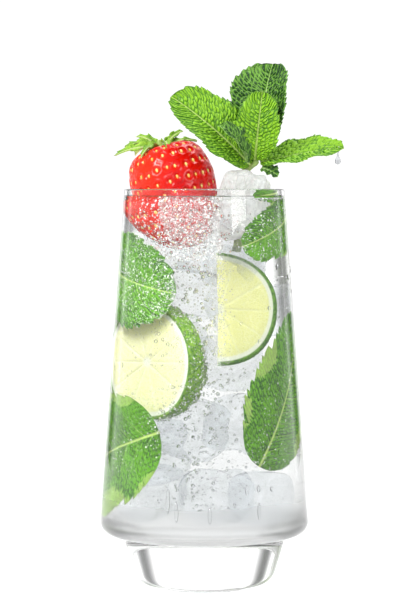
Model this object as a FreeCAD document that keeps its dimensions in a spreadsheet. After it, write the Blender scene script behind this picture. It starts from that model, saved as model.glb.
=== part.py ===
import FreeCAD
import Part
import Sketcher
import math
import os
from FreeCAD import Placement, Rotation, Vector

# A mojito in a stepped tumbler, in millimetres. The origin is the middle of the glass's flat
# base, +Z is up and -Y is the side a guest looks at. The glass and the drink are turned bodies,
# the ice cubes are filleted blocks, and the berry, its crown, the mint stalk and the mint leaves
# are free-form solids worked out by functions.

DOC = FreeCAD.newDocument("mojito")
SHEET = DOC.addObject("Spreadsheet::Sheet", "Sizes")

# ---------------------------------------------------------------- driving dimensions

GLASS = {
    "glass_height": 152.6,
    "rim_radius": 30.7,
    "rim_bore_radius": 29.2,
    "body_radius": 40.6,
    "bore_floor_radius": 38.1,
    "bore_floor_height": 23.4,
    "ledge_height": 19.9,
    "foot_top_radius": 31.9,
    "foot_base_radius": 25.9,
    "ledge_round": 4.8,
    "foot_round": 7.4,
    "rim_round": 0.6,
    "bore_floor_round": 4.5,
}
DRINK = {"drink_level": 149.1}

# The crown end and the tip of the berry are points on its own axis.
BERRY = {
    "berry_crown_x": -16.6,
    "berry_crown_y": 1.2,
    "berry_crown_z": 167.8,
    "berry_tip_x": -4.0,
    "berry_tip_y": -3.0,
    "berry_tip_z": 129.5,
    "berry_width": 31.8,
}
CROWN = {
    "sepal_count": 8,
    "sepal_length": 13.0,
    "sepal_half_width": 2.5,
    "sepal_thickness": 0.5,
    "sepal_rise": 6.0,
    "crown_disc_radius": 3.4,
    "crown_disc_height": 1.4,
}

# Each ice cube: three sides, rounding, middle, and three turns in degrees.
CUBES = {
    "ice_cube_main": dict(long=20.0, wide=16.0, tall=25.5, round=6.5, x=15.2, y=-5.4, z=147.4,
                          yaw=-4.0, pitch=7.0, roll=-4.0),
    "ice_cube_back": dict(long=9.0, wide=10.0, tall=19.0, round=3.6, x=19.8, y=11.2, z=145.0,
                          yaw=-28.0, pitch=-5.0, roll=4.0),
    "ice_cube_front": dict(long=17.0, wide=7.0, tall=24.0, round=3.2, x=-6.2, y=-22.9, z=141.7,
                           yaw=-15.0, pitch=-3.0, roll=-2.0),
}

# The stalk is a square rod bent from its foot behind the ice to its head, where the leaves part.
STALK = {
    "stalk_foot_x": 8.5,
    "stalk_foot_y": 8.6,
    "stalk_foot_z": 128.0,
    "stalk_bend_x": 12.6,
    "stalk_bend_y": 7.4,
    "stalk_bend_z": 154.0,
    "stalk_head_x": 19.6,
    "stalk_head_y": -5.0,
    "stalk_head_z": 163.4,
    "stalk_side": 2.2,
}

# Each leaf: its base, its tip, the way its upper face looks, its half width, how far its midrib
# bows towards that face, how steeply its halves fold up, and its teeth on each side.
LEAVES = {
    "mint_leaf_left": dict(base_x=17.4, base_y=-5.6, base_z=161.6,
                           tip_x=-12.6, tip_y=-10.0, tip_z=187.6,
                           face_x=0.22, face_y=-0.9, face_z=0.36,
                           half=12.0, bow=3.0, fold=22.0, teeth=15),
    "mint_leaf_back": dict(base_x=21.2, base_y=-2.8, base_z=164.8,
                           tip_x=26.4, tip_y=4.0, tip_z=200.6,
                           face_x=-0.42, face_y=-0.9, face_z=0.1,
                           half=14.6, bow=3.0, fold=25.0, teeth=15),
    "mint_leaf_middle": dict(base_x=19.3, base_y=-6.9, base_z=163.6,
                             tip_x=22.0, tip_y=-11.0, tip_z=189.4,
                             face_x=-0.05, face_y=-0.98, face_z=0.15,
                             half=9.6, bow=2.0, fold=18.0, teeth=11),
    "mint_leaf_small": dict(base_x=16.4, base_y=-9.8, base_z=163.0,
                            tip_x=5.8, tip_y=-18.0, tip_z=176.4,
                            face_x=0.35, face_y=-0.62, face_z=0.7,
                            half=5.4, bow=2.0, fold=24.0, teeth=8),
    "mint_leaf_right": dict(base_x=21.4, base_y=-5.6, base_z=162.4,
                            tip_x=53.0, tip_y=-9.0, tip_z=168.4,
                            face_x=-0.16, face_y=-0.52, face_z=0.84,
                            half=8.6, bow=0.6, fold=14.0, teeth=12),
    "mint_leaf_low": dict(base_x=21.6, base_y=-8.4, base_z=160.4,
                          tip_x=28.0, tip_y=-9.5, tip_z=157.4,
                          face_x=0.5, face_y=-0.7, face_z=0.45,
                          half=3.2, bow=0.6, fold=20.0, teeth=6),
}
LEAF = {
    "leaf_thickness": 0.6,
    "leaf_stalk_half": 0.9,
    "leaf_tip_half": 0.5,
    "leaf_tooth": 0.09,
    "leaf_base_power": 0.5,
    "leaf_tip_power": 0.45,
}

POINTS_PER_TOOTH = 4
POINTS_ACROSS = 7
SKIN_DEGREE = 2

# The berry's outline from the dimple to the tip: shares of its half width and of its length.
BERRY_OUTLINE = ((0.0, 0.05), (0.30, 0.0), (0.60, 0.0), (0.86, 0.08), (1.0, 0.27),
                 (0.98, 0.46), (0.85, 0.66), (0.63, 0.83), (0.34, 0.955), (0.0, 1.0))


def fill_sheet():
    """Puts every driving dimension in the sheet, one row each, with its name as the alias."""
    cells = {**GLASS, **DRINK, **BERRY, **CROWN, **STALK, **LEAF}
    for group in (CUBES, LEAVES):
        for node, sizes in group.items():
            cells.update({f"{node}_{key}": value for key, value in sizes.items()})
    for row, (alias, value) in enumerate(cells.items(), start=1):
        SHEET.set(f"A{row}", alias.replace("_", " "))
        SHEET.set(f"B{row}", str(value))
        SHEET.setAlias(f"B{row}", alias)
    DOC.recompute()


def size(alias):
    """A driving dimension, read back from the sheet."""
    return float(SHEET.get(alias))


def point(prefix):
    """The point whose three coordinates the sheet holds under one prefix."""
    return Vector(size(prefix + "_x"), size(prefix + "_y"), size(prefix + "_z"))


def known(alias):
    """A sheet dimension as its value and the expression that binds it."""
    return size(alias), "Sizes." + alias


# ---------------------------------------------------------------- glass and drink


def turned_body(name, corners):
    """A body turned about Z from a closed outline of corners.

    A corner is a radius and a height, each a value and its expression, or None on the axis."""
    body = DOC.addObject("PartDesign::Body", name)
    plane = next(f for f in body.Origin.OriginFeatures if f.Role == "XZ_Plane")
    sketch = body.newObject("Sketcher::SketchObject", name + "_outline")
    sketch.AttachmentSupport = (plane, [""])
    sketch.MapMode = "FlatFace"
    DOC.recompute()
    places = [Vector(radius[0] if radius else 0.0, height[0], 0) for radius, height in corners]
    count = len(corners)
    for i in range(count):
        sketch.addGeometry(Part.LineSegment(places[i], places[(i + 1) % count]), False)
    for i in range(count):
        sketch.addConstraint(Sketcher.Constraint("Coincident", i, 2, (i + 1) % count, 1))
    for i, (radius, height) in enumerate(corners):
        place_corner(sketch, i, radius, height)
    turned = body.newObject("PartDesign::Revolution", name + "_turned")
    turned.Profile = sketch
    turned.ReferenceAxis = (sketch, ["V_Axis"])
    turned.Angle = 360
    DOC.recompute()
    return body


def place_corner(sketch, index, radius, height):
    """Holds one corner of an outline at its radius and height, or on the axis."""
    if radius is None:
        sketch.addConstraint(Sketcher.Constraint("PointOnObject", index, 1, -2))
    else:
        bind(sketch, Sketcher.Constraint("DistanceX", -1, 1, index, 1, radius[0]), radius[1])
    if height[0] == 0:
        sketch.addConstraint(Sketcher.Constraint("PointOnObject", index, 1, -1))
    else:
        bind(sketch, Sketcher.Constraint("DistanceY", -1, 1, index, 1, height[0]), height[1])


def bind(sketch, constraint, expression):
    """Adds a constraint and ties its value to an expression on the sheet."""
    number = sketch.addConstraint(constraint)
    sketch.setExpression(f"Constraints[{number}]", expression)


def round_rings(body, rings, alias):
    """Rounds the circular edges of a turned body that lie at the given radii and heights."""
    found = []
    for number, edge in enumerate(body.Shape.Edges, start=1):
        box = edge.BoundBox
        if box.ZLength > 0.01:
            continue
        if any(abs(box.XMax - r) < 0.05 and abs(box.ZMax - z) < 0.05 for r, z in rings):
            found.append(f"Edge{number}")
    if len(found) != len(rings):
        raise RuntimeError(f"{body.Label}: {alias} found {found} for {rings}")
    before = body.Tip
    fillet = body.newObject("PartDesign::Fillet", body.Name + "_" + alias)
    fillet.Base = (before, found)
    fillet.Radius = size(alias)
    fillet.setExpression("Radius", "Sizes." + alias)
    body.Tip = fillet
    DOC.recompute()


def bore_radius(height):
    """The glass's inner radius at a height, on its straight taper."""
    share = (height - size("bore_floor_height")) / (size("glass_height") - size("bore_floor_height"))
    return size("bore_floor_radius") + share * (size("rim_bore_radius") - size("bore_floor_radius"))


def make_glass():
    """The tumbler: a solid foot, a ledge, and a wall that narrows to the rim."""
    height = known("glass_height")
    ledge = known("ledge_height")
    bore_floor = known("bore_floor_height")
    body = turned_body("glass", [
        (None, (0, None)),
        (known("foot_base_radius"), (0, None)),
        (known("foot_top_radius"), ledge),
        (known("body_radius"), ledge),
        (known("rim_radius"), height),
        (known("rim_bore_radius"), height),
        (known("bore_floor_radius"), bore_floor),
        (None, bore_floor),
    ])
    rim = [(size("rim_radius"), height[0]), (size("rim_bore_radius"), height[0])]
    round_rings(body, [(size("foot_base_radius"), 0)], "foot_round")
    round_rings(body, [(size("body_radius"), ledge[0])], "ledge_round")
    round_rings(body, [(size("bore_floor_radius"), bore_floor[0])], "bore_floor_round")
    round_rings(body, rim, "rim_round")
    return body


def make_drink(sunk):
    """The drink up to its level, cut round everything that is dipped in it."""
    level = known("drink_level")
    bore_floor = known("bore_floor_height")
    taper = ("Sizes.bore_floor_radius + (Sizes.rim_bore_radius - Sizes.bore_floor_radius)"
             " * (Sizes.drink_level - Sizes.bore_floor_height)"
             " / (Sizes.glass_height - Sizes.bore_floor_height)")
    body = turned_body("drink_filled", [
        (None, bore_floor),
        (known("bore_floor_radius"), bore_floor),
        ((bore_radius(level[0]), taper), level),
        (None, level),
    ])
    round_rings(body, [(size("bore_floor_radius"), bore_floor[0])], "bore_floor_round")
    tools = DOC.addObject("Part::Compound", "drink_sunk")
    tools.Links = sunk
    cut = DOC.addObject("Part::Cut", "drink")
    cut.Base = body
    cut.Tool = tools
    DOC.recompute()
    return cut


# ---------------------------------------------------------------- ice


def make_cube(node):
    """One ice cube: a block with every edge rounded, turned about its middle."""
    body = DOC.addObject("PartDesign::Body", node)
    block = body.newObject("PartDesign::AdditiveBox", node + "_block")
    for side, key in (("Length", "long"), ("Width", "wide"), ("Height", "tall")):
        setattr(block, side, size(f"{node}_{key}"))
        block.setExpression(side, f"Sizes.{node}_{key}")
    DOC.recompute()
    rounding = body.newObject("PartDesign::Fillet", node + "_rounded")
    rounding.Base = (block, [f"Edge{i}" for i in range(1, len(block.Shape.Edges) + 1)])
    rounding.Radius = size(node + "_round")
    rounding.setExpression("Radius", f"Sizes.{node}_round")
    body.Tip = rounding
    turn = Rotation(size(node + "_yaw"), size(node + "_pitch"), size(node + "_roll"))
    half = Vector(size(node + "_long") / 2, size(node + "_wide") / 2, size(node + "_tall") / 2)
    body.Placement = Placement(point(node) - turn.multVec(half), turn)
    DOC.recompute()
    return body


# ---------------------------------------------------------------- free-form solids


def free_form(node, shape, place=None):
    """A node whose shape is worked out in code from the sheet's sizes."""
    part = DOC.addObject("Part::Feature", node)
    part.Shape = shape
    part.Placement = place or Placement()
    return part


def clamped_knots(count, degree):
    """Evenly spaced knots and their repeats for a row of poles, with the end poles on the curve."""
    spans = count - degree
    repeats = [degree + 1] + [1] * (spans - 1) + [degree + 1]
    return [i / spans for i in range(spans + 1)], repeats


def skin(rows):
    """A smooth face that follows a grid of poles and ends exactly on its outermost ones."""
    along_knots, along_repeats = clamped_knots(len(rows), SKIN_DEGREE)
    across_knots, across_repeats = clamped_knots(len(rows[0]), SKIN_DEGREE)
    surface = Part.BSplineSurface()
    surface.buildFromPolesMultsKnots(rows, along_repeats, across_repeats, along_knots,
                                     across_knots, False, False, SKIN_DEGREE, SKIN_DEGREE)
    return surface.toShape()


def closed_slab(upper, lower):
    """A solid between two grids of points with the same rows, closed by strips at their edges."""
    faces = [skin(upper), skin(lower)]
    borders = (
        (upper[0], lower[0]),
        (upper[-1], lower[-1]),
        ([row[0] for row in upper], [row[0] for row in lower]),
        ([row[-1] for row in upper], [row[-1] for row in lower]),
    )
    for top_line, bottom_line in borders:
        faces.append(strip(faces, top_line, bottom_line))
    shell = Part.makeShell(faces)
    shell.sewShape()
    solid = Part.makeSolid(shell)
    if solid.Volume < 0:
        solid.reverse()
    return solid


def strip(faces, top_line, bottom_line):
    """The ruled face between the edges of two skins that run along two lines of points."""
    return Part.makeRuledSurface(edge_along(faces[0], top_line), edge_along(faces[1], bottom_line))


def edge_along(face, line):
    """The edge of a face that starts and ends where a line of points does."""
    ends = {(round(p.x, 3), round(p.y, 3), round(p.z, 3)) for p in (line[0], line[-1])}
    for edge in face.Edges:
        found = {(round(v.X, 3), round(v.Y, 3), round(v.Z, 3)) for v in edge.Vertexes}
        if found == ends:
            return edge
    raise RuntimeError(f"no edge joins {line[0]} and {line[-1]}")


def blade_grid(base, tip, face, blade):
    """The middle surface of a leaf or sepal as rows of points with the normal at each.

    With the share s of the way to the tip, the half width goes as s to the base power times
    (1 - s) to the tip power, scaled to the full half width at its greatest, with saw teeth on
    it. Across the blade the halves fold up, and the midrib bows to the upper face."""
    along = tip - base
    length = along.Length
    along.normalize()
    up = face - along * face.dot(along)
    up.normalize()
    side = up.cross(along)
    teeth = int(blade["teeth"])
    count = max(teeth * POINTS_PER_TOOTH, 12) + 1
    fold = math.radians(blade["fold"])
    base_power, tip_power = blade["powers"]
    widest = base_power / (base_power + tip_power)
    rows = []
    for i in range(count):
        share = i / (count - 1)
        swell = (share / widest) ** base_power * ((1 - share) / (1 - widest)) ** tip_power
        least = blade["stalk_half"] + (blade["tip_half"] - blade["stalk_half"]) * share
        saw = (share * teeth) % 1.0 if teeth else 0.0
        notch = 1.0 - blade["tooth"] * (1.0 - saw) * min(1.0, 6.0 * share)
        half = least + (blade["half"] - least) * swell * notch
        lift = blade["bow"] * 4.0 * share * (1.0 - share)
        row = []
        for j in range(POINTS_ACROSS):
            across = 2.0 * j / (POINTS_ACROSS - 1) - 1.0
            reach = half * across
            rise = lift + half * math.sin(fold) * across * across
            row.append(base + along * (length * share) + side * (reach * math.cos(fold)) + up * rise)
        rows.append(row)
    return rows, up


def blade_solid(base, tip, face, blade):
    """A leaf or sepal of even thickness about its middle surface."""
    rows, up = blade_grid(base, tip, face, blade)
    half = up * (blade["thickness"] / 2)
    upper = [[p + half for p in row] for row in rows]
    lower = [[p - half for p in row] for row in rows]
    return closed_slab(upper, lower)


def leaf_solid(node):
    """One mint leaf, from its base beside the head of the stalk to its tip."""
    blade = {key: size(f"{node}_{key}") for key in ("half", "bow", "fold", "teeth")}
    blade.update(thickness=size("leaf_thickness"), stalk_half=size("leaf_stalk_half"),
                 tip_half=size("leaf_tip_half"), tooth=size("leaf_tooth"),
                 powers=(size("leaf_base_power"), size("leaf_tip_power")))
    return blade_solid(point(node + "_base"), point(node + "_tip"), point(node + "_face"), blade)


def make_berry():
    """The strawberry: its outline turned about its own axis, from the dimple to the tip."""
    crown = point("berry_crown")
    axis = point("berry_tip") - crown
    half = size("berry_width") / 2
    spots = [Vector(half * r, 0, axis.Length * a) for r, a in BERRY_OUTLINE]
    curve = Part.BSplineCurve()
    curve.interpolate(Points=spots, InitialTangent=Vector(1, 0, 0), FinalTangent=Vector(-1, 0, 0))
    closing = Part.makeLine(spots[-1], spots[0])
    outline = Part.Face(Part.Wire([curve.toShape(), closing]))
    solid = outline.revolve(Vector(), Vector(0, 0, 1), 360)
    return free_form("strawberry", solid, Placement(crown, Rotation(Vector(0, 0, 1), axis)))


def make_crown():
    """The berry's green crown: a small disc with a ring of sepals, seated on the dimple."""
    crown = point("berry_crown")
    axis = crown - point("berry_tip")
    radius = size("crown_disc_radius")
    height = size("crown_disc_height")
    solid = Part.makeCylinder(radius, height)
    blade = dict(half=size("sepal_half_width"), bow=1.2, fold=14.0, teeth=0, tooth=0.0,
                 thickness=size("sepal_thickness"), stalk_half=1.0, tip_half=0.25,
                 powers=(0.5, 0.9))
    count = int(size("sepal_count"))
    rise = math.radians(size("sepal_rise"))
    for i in range(count):
        turn = 2 * math.pi * i / count
        out = Vector(math.cos(turn), math.sin(turn), 0)
        start = out * (radius * 0.6) + Vector(0, 0, height / 2)
        reach = size("sepal_length") - radius * 0.6
        end = start + out * (reach * math.cos(rise)) + Vector(0, 0, reach * math.sin(rise))
        solid = solid.fuse(blade_solid(start, end, Vector(0, 0, 1), blade))
    seat = Placement(crown, Rotation(Vector(0, 0, 1), axis))
    return free_form("strawberry_calyx", solid, seat)


def make_stalk():
    """The mint stalk: a square section swept from its foot, round its bend, to its head."""
    path = Part.BSplineCurve()
    path.interpolate([point("stalk_foot"), point("stalk_bend"), point("stalk_head")])
    wire = Part.Wire(path.toShape())
    half = size("stalk_side") / 2
    turn = Rotation(Vector(0, 0, 1), path.tangent(path.FirstParameter)[0])
    corners = [Vector(x * half, y * half, 0) for x, y in ((-1, -1), (1, -1), (1, 1), (-1, 1))]
    corners = [point("stalk_foot") + turn.multVec(corner) for corner in corners]
    square = Part.makePolygon(corners + corners[:1])
    return free_form("mint_stalk", wire.makePipeShell([square], True, True))


# ---------------------------------------------------------------- build and write


def build():
    """Makes every node and returns them in the order they are written."""
    glass = make_glass()
    cubes = [make_cube(node) for node in CUBES]
    berry = make_berry()
    crown = make_crown()
    stalk = make_stalk()
    leaves = [free_form(node, leaf_solid(node)) for node in LEAVES]
    drink = make_drink(cubes + [berry, stalk])
    return [glass, drink, berry, crown, stalk] + cubes + leaves


def check_and_write(nodes):
    """Stops on any bad object or shape, then writes one file for each node."""
    DOC.recompute()
    for item in DOC.Objects:
        if "Invalid" in item.State or "Error" in item.State:
            raise RuntimeError(f"{item.Name} did not recompute: {item.State}")
    os.makedirs("parts", exist_ok=True)
    for node in nodes:
        shape = node.Shape
        if shape.isNull() or not shape.isValid() or not shape.Solids:
            raise RuntimeError(f"{node.Name} has no valid solid")
        node.Label = node.Name
        shape.exportStep(f"parts/{node.Name}.step")
        print(node.Name, "solids", len(shape.Solids), "volume", round(shape.Volume, 1))


fill_sheet()
check_and_write(build())
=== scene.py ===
# %% [markdown]
# # A mojito in a stepped tumbler
# The drink stands in a tall clear glass that narrows to its rim. Lime slices, mint leaves, ice
# and bubbles hang in it, and a strawberry, ice and a sprig of mint stand out at the top.
# Every piece is a surface worked out with numpy from named sizes, because fruit, leaves and ice
# are smooth uneven shapes that a formula describes better than a cube or a sphere does.

# %% Load the frame
import bpy
import numpy as np
from mathutils import Euler, Matrix, Vector


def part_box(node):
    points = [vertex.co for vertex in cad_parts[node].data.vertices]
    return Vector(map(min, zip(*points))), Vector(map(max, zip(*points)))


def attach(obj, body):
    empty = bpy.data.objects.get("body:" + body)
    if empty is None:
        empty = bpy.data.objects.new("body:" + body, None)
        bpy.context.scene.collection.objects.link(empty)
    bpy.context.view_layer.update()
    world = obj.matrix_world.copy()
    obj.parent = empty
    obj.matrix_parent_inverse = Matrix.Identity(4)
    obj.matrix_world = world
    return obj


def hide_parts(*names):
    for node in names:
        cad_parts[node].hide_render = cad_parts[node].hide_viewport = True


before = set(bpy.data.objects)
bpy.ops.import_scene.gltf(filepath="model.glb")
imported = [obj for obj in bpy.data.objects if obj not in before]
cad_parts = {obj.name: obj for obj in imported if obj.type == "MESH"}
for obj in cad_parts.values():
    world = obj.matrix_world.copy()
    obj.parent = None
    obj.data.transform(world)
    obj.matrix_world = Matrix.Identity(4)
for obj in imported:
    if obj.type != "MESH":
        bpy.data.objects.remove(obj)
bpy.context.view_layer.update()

MM = 0.001
RANDOM = np.random.default_rng(7)

# %% [markdown]
# ## Turning arrays into meshes
# A surface is a grid of points: one index runs along it and one across. Neighbouring points
# make four-sided faces, so the faces are worked out for the whole grid at once. If the solid
# comes out inside out, its signed volume is negative and every face is turned round.


# %% Mesh helpers
def grid_faces(rows, columns, wrap):
    """Corner numbers of the faces of a rows x columns grid; wrap joins the last column to the first."""
    i, j = np.meshgrid(np.arange(rows - 1), np.arange(columns if wrap else columns - 1), indexing="ij")
    k = (j + 1) % columns
    corners = np.stack([i * columns + j, i * columns + k, (i + 1) * columns + k, (i + 1) * columns + j])
    return corners.reshape(4, -1).T


def end_fans(rows, columns, wrap=True):
    """Triangles from two extra points, kept after the grid's own, to its first and last rows."""
    now = np.arange(columns if wrap else columns - 1)
    following, count = (now + 1) % columns, rows * columns
    first, last = np.full(len(now), count), count - columns
    return np.vstack([np.stack([first, following, now], 1),
                      np.stack([first + 1, last + now, last + following], 1)])


def signed_volume(points, faces):
    """A sixth of the sum, over the faces' triangles, of a . (b x c)."""
    total = 0.0
    for n in range(1, faces.shape[1] - 1):
        a, b, c = points[faces[:, 0]], points[faces[:, n]], points[faces[:, n + 1]]
        total += np.einsum("ij,ij->i", a, np.cross(b, c)).sum() / 6
    return total


def make_piece(name, points, face_sets, marks=None):
    """A smooth object from n x 3 points and arrays of faces; marks are values kept per point."""
    points = np.asarray(points, float).reshape(-1, 3)
    if sum(signed_volume(points, faces) for faces in face_sets) < 0:
        face_sets = [faces[:, ::-1] for faces in face_sets]
    sizes = np.concatenate([np.full(len(faces), faces.shape[1]) for faces in face_sets])
    corners = np.concatenate([faces.ravel() for faces in face_sets])
    mesh = bpy.data.meshes.new(name)
    mesh.vertices.add(len(points))
    mesh.vertices.foreach_set("co", points.astype(np.float32).ravel())
    mesh.loops.add(len(corners))
    mesh.loops.foreach_set("vertex_index", corners.astype(np.int32))
    mesh.polygons.add(len(sizes))
    starts = np.concatenate([[0], np.cumsum(sizes)[:-1]])
    mesh.polygons.foreach_set("loop_start", starts.astype(np.int32))
    mesh.polygons.foreach_set("use_smooth", np.ones(len(sizes), bool))
    mesh.update(calc_edges=True)
    mesh.validate()
    for label, values in (marks or {}).items():
        layer = mesh.attributes.new(label, "FLOAT", "POINT")
        layer.data.foreach_set("value", np.asarray(values, np.float32).ravel())
    piece = bpy.data.objects.new(name, mesh)
    bpy.context.scene.collection.objects.link(piece)
    print(f"{name}: {len(points)} points, {int((sizes - 2).sum())} triangles")
    return piece


def settle(piece, material, slot, *nodes):
    """Gives a piece its finish, lets it ride with the drink, and hides the CAD nodes it stands for."""
    piece.data.materials.append(material)
    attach(piece, "root")
    if nodes:
        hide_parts(*nodes)
    return piece


def unit(vectors):
    """Vectors scaled to length one along the last axis."""
    vectors = np.asarray(vectors, float)
    return vectors / np.maximum(np.linalg.norm(vectors, axis=-1, keepdims=True), 1e-12)


def smooth_line(points, count):
    """A Catmull-Rom curve through a few points, sampled evenly between them."""
    points = np.asarray(points, float)
    padded = np.vstack([2 * points[0] - points[1], points, 2 * points[-1] - points[-2]])
    at = np.linspace(0, len(points) - 1, count)
    span = np.minimum(at.astype(int), len(points) - 2)
    t = (at - span)[:, None]
    a, b, c, d = (padded[span + k] for k in range(4))
    return 0.5 * (2 * b + (c - a) * t + (2 * a - 5 * b + 4 * c - d) * t ** 2
                  + (3 * b - a - 3 * c + d) * t ** 3)


def rounded_outline(corners, steps):
    """A chain of straight runs whose corners (r, z, rounding) are replaced by tangent arcs."""
    spots = np.array([c[:2] for c in corners], float)
    line = [spots[0][None]]
    for n in range(1, len(corners) - 1):
        rounding = corners[n][2]
        before, after = unit(spots[n - 1] - spots[n]), unit(spots[n + 1] - spots[n])
        if rounding == 0:
            line.append(spots[n][None])
            continue
        half = np.arccos(np.clip(before @ after, -1, 1)) / 2
        middle = spots[n] + unit(before + after) * rounding / np.sin(half)
        start = spots[n] + before * rounding / np.tan(half) - middle
        end = spots[n] + after * rounding / np.tan(half) - middle
        share = np.linspace(0, 1, steps)[:, None]
        line.append(middle + unit(start * (1 - share) + end * share) * rounding)
    line.append(spots[-1][None])
    return np.vstack(line)


def closed_tube(name, rings, marks=None, ends=None):
    """A tube from rings of points, closed by a fan at each end, to the ring's middle or a given point."""
    rows, sides = rings.shape[:2]
    ends = np.stack([rings[0].mean(0), rings[-1].mean(0)]) if ends is None else ends
    points = np.vstack([rings.reshape(-1, 3), ends])
    return make_piece(name, points, [grid_faces(rows, sides, True), end_fans(rows, sides)], marks)


def turned(name, outline, segments):
    """A solid of revolution: (r, z) points turned about Z, whose two ends lie on the axis."""
    angle = np.linspace(0, 2 * np.pi, segments, endpoint=False)
    inner = outline[1:-1]
    rings = np.stack([inner[:, :1] * np.cos(angle), inner[:, :1] * np.sin(angle),
                      np.repeat(inner[:, 1:], segments, 1)], -1)
    poles = np.array([[0, 0, outline[0, 1]], [0, 0, outline[-1, 1]]])
    return closed_tube(name, rings, ends=poles)


# %% [markdown]
# ## Writing shader maths as plain sums
# A finish is a tree of nodes. This small class wraps one output socket, so that `1 - mask` or
# `noise * 0.5` adds the Math node by itself, and the finish class adds any other node.


# %% Shader helpers
class Value:
    """One number that varies over a surface; arithmetic on it adds Math nodes."""

    def __init__(self, finish, socket):
        self.finish, self.socket = finish, socket

    def sum_up(self, operation, first, second):
        """A Math node of two numbers, each a Value or a plain number."""
        node = self.finish.node("ShaderNodeMath", {"operation": operation}, {0: first, 1: second})
        return Value(self.finish, node.outputs[0])

    def __add__(self, other):
        return self.sum_up("ADD", self, other)

    def __radd__(self, other):
        return self.sum_up("ADD", other, self)

    def __sub__(self, other):
        return self.sum_up("SUBTRACT", self, other)

    def __rsub__(self, other):
        return self.sum_up("SUBTRACT", other, self)

    def __mul__(self, other):
        return self.sum_up("MULTIPLY", self, other)

    def between(self, low, high):
        """0 below low and 1 above high, with a smooth step between."""
        node = self.finish.node("ShaderNodeMapRange", {"interpolation_type": "SMOOTHSTEP"},
                                {"Value": self, "From Min": low, "From Max": high})
        return Value(self.finish, node.outputs["Result"])


class Finish:
    """A material made of nodes, with one method that adds any node and a few named for their use."""

    def __init__(self, name):
        self.material = bpy.data.materials.new(name)
        self.material.use_nodes = True
        self.tree = self.material.node_tree
        self.tree.nodes.clear()
        self.output = self.tree.nodes.new("ShaderNodeOutputMaterial")

    def node(self, kind, settings=None, sockets=None):
        """Adds a node: first its settings, then each socket's value or link."""
        node = self.tree.nodes.new(kind)
        for name, value in (settings or {}).items():
            setattr(node, name, value)
        for name, value in (sockets or {}).items():
            self.feed(node.inputs[name], value)
        return node

    def feed(self, socket, value):
        """Links a Value or an output to a socket, or sets the socket's own number or colour."""
        if isinstance(value, Value):
            self.tree.links.new(value.socket, socket)
        elif isinstance(value, bpy.types.NodeSocket):
            self.tree.links.new(value, socket)
        elif isinstance(value, tuple) and len(value) == 3 and socket.type == "RGBA":
            socket.default_value = (*value, 1.0)
        else:
            socket.default_value = value

    def place(self, scale=(1, 1, 1)):
        """Object coordinates, stretched by a Mapping node."""
        here = self.node("ShaderNodeTexCoord").outputs["Object"]
        return self.node("ShaderNodeMapping", {}, {"Vector": here, "Scale": scale}).outputs["Vector"]

    def axis(self, where, number):
        """One coordinate of a place: 0 for x, 1 for y, 2 for z."""
        return Value(self, self.node("ShaderNodeSeparateXYZ", {}, {0: where}).outputs[number])

    def mark(self, label):
        """A value kept on the piece's own points."""
        return Value(self, self.node("ShaderNodeAttribute", {"attribute_name": label}).outputs["Fac"])

    def vector(self, x, y):
        """A flat vector from two values."""
        return self.node("ShaderNodeCombineXYZ", {}, {0: x, 1: y, 2: 0.0}).outputs[0]

    def noise(self, where, scale, detail=3.0, roughness=0.5, distortion=0.0):
        """Cloudy noise from 0 to 1."""
        node = self.node("ShaderNodeTexNoise", {}, {"Vector": where, "Scale": scale, "Detail": detail,
                                                    "Roughness": roughness, "Distortion": distortion})
        return Value(self, node.outputs[0])

    def cells(self, where, scale, feature="F1"):
        """Distance within random cells: to their centres, or to their edges."""
        node = self.node("ShaderNodeTexVoronoi", {"feature": feature}, {"Vector": where, "Scale": scale})
        return Value(self, node.outputs["Distance"])

    def tint(self, share, first, second):
        """Two colours mixed by a share."""
        return self.node("ShaderNodeMix", {"data_type": "RGBA"}, {0: share, 6: first, 7: second}).outputs[2]

    def bump(self, height, depth, strength=1.0):
        """A Bump node for a height from 0 to 1 that is depth metres deep."""
        return self.node("ShaderNodeBump", {}, {"Height": height, "Distance": depth,
                                                "Strength": strength}).outputs["Normal"]

    def shader(self, kind, **sockets):
        """A shader of a kind such as Glass, with underscores for the spaces in its sockets' names."""
        named = {name.replace("_", " "): value for name, value in sockets.items()}
        return self.node("ShaderNodeBsdf" + kind, {}, named).outputs[0]

    def principled(self, **sockets):
        """The Principled shader, which most finishes here use."""
        return self.shader("Principled", **sockets)

    def mixed(self, share, first, second):
        """Two shaders mixed by a share."""
        return self.node("ShaderNodeMixShader", {}, {0: share, 1: first, 2: second}).outputs[0]

    def lit_through(self, shader):
        """Lets lamps shine through a clear shader: to their shadow rays it is as good as absent."""
        path = self.node("ShaderNodeLightPath").outputs["Is Shadow Ray"]
        return self.mixed(path, shader, self.shader("Transparent"))

    def done(self, shader):
        """Ends the tree and returns the material."""
        self.tree.links.new(shader, self.output.inputs["Surface"])
        return self.material

# %% [markdown]
# ## The tumbler
# A pressed glass tumbler has a thick solid foot, a rounded ledge and a wall that thins to a
# fire-polished rim. It is one outline turned about the upright axis. It could be kept as the
# CAD mesh, but clear glass shows every facet, so it is turned again here with fine steps.

# %% Glass sizes and outline
GLASS_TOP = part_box("glass")[1][2]
FLOOR_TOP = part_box("drink")[0][2]
DRINK_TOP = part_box("drink")[1][2]
RIM_RADIUS, RIM_BORE, RIM_ROUNDING = 30.7 * MM, 29.2 * MM, 0.7 * MM
BODY_RADIUS, BODY_ROUNDING = 40.6 * MM, 4.8 * MM
FLOOR_BORE, FLOOR_ROUNDING = 38.1 * MM, 4.5 * MM
LEDGE, LEDGE_ROUNDING = 19.9 * MM, 0.8 * MM
FOOT_TOP_RADIUS, FOOT_RADIUS, FOOT_ROUNDING = 31.9 * MM, 25.9 * MM, 7.4 * MM
ARC_STEPS, LONGEST_STEP, GLASS_SIDES, DRINK_SIDES = 14, 4 * MM, 192, 160


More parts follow.
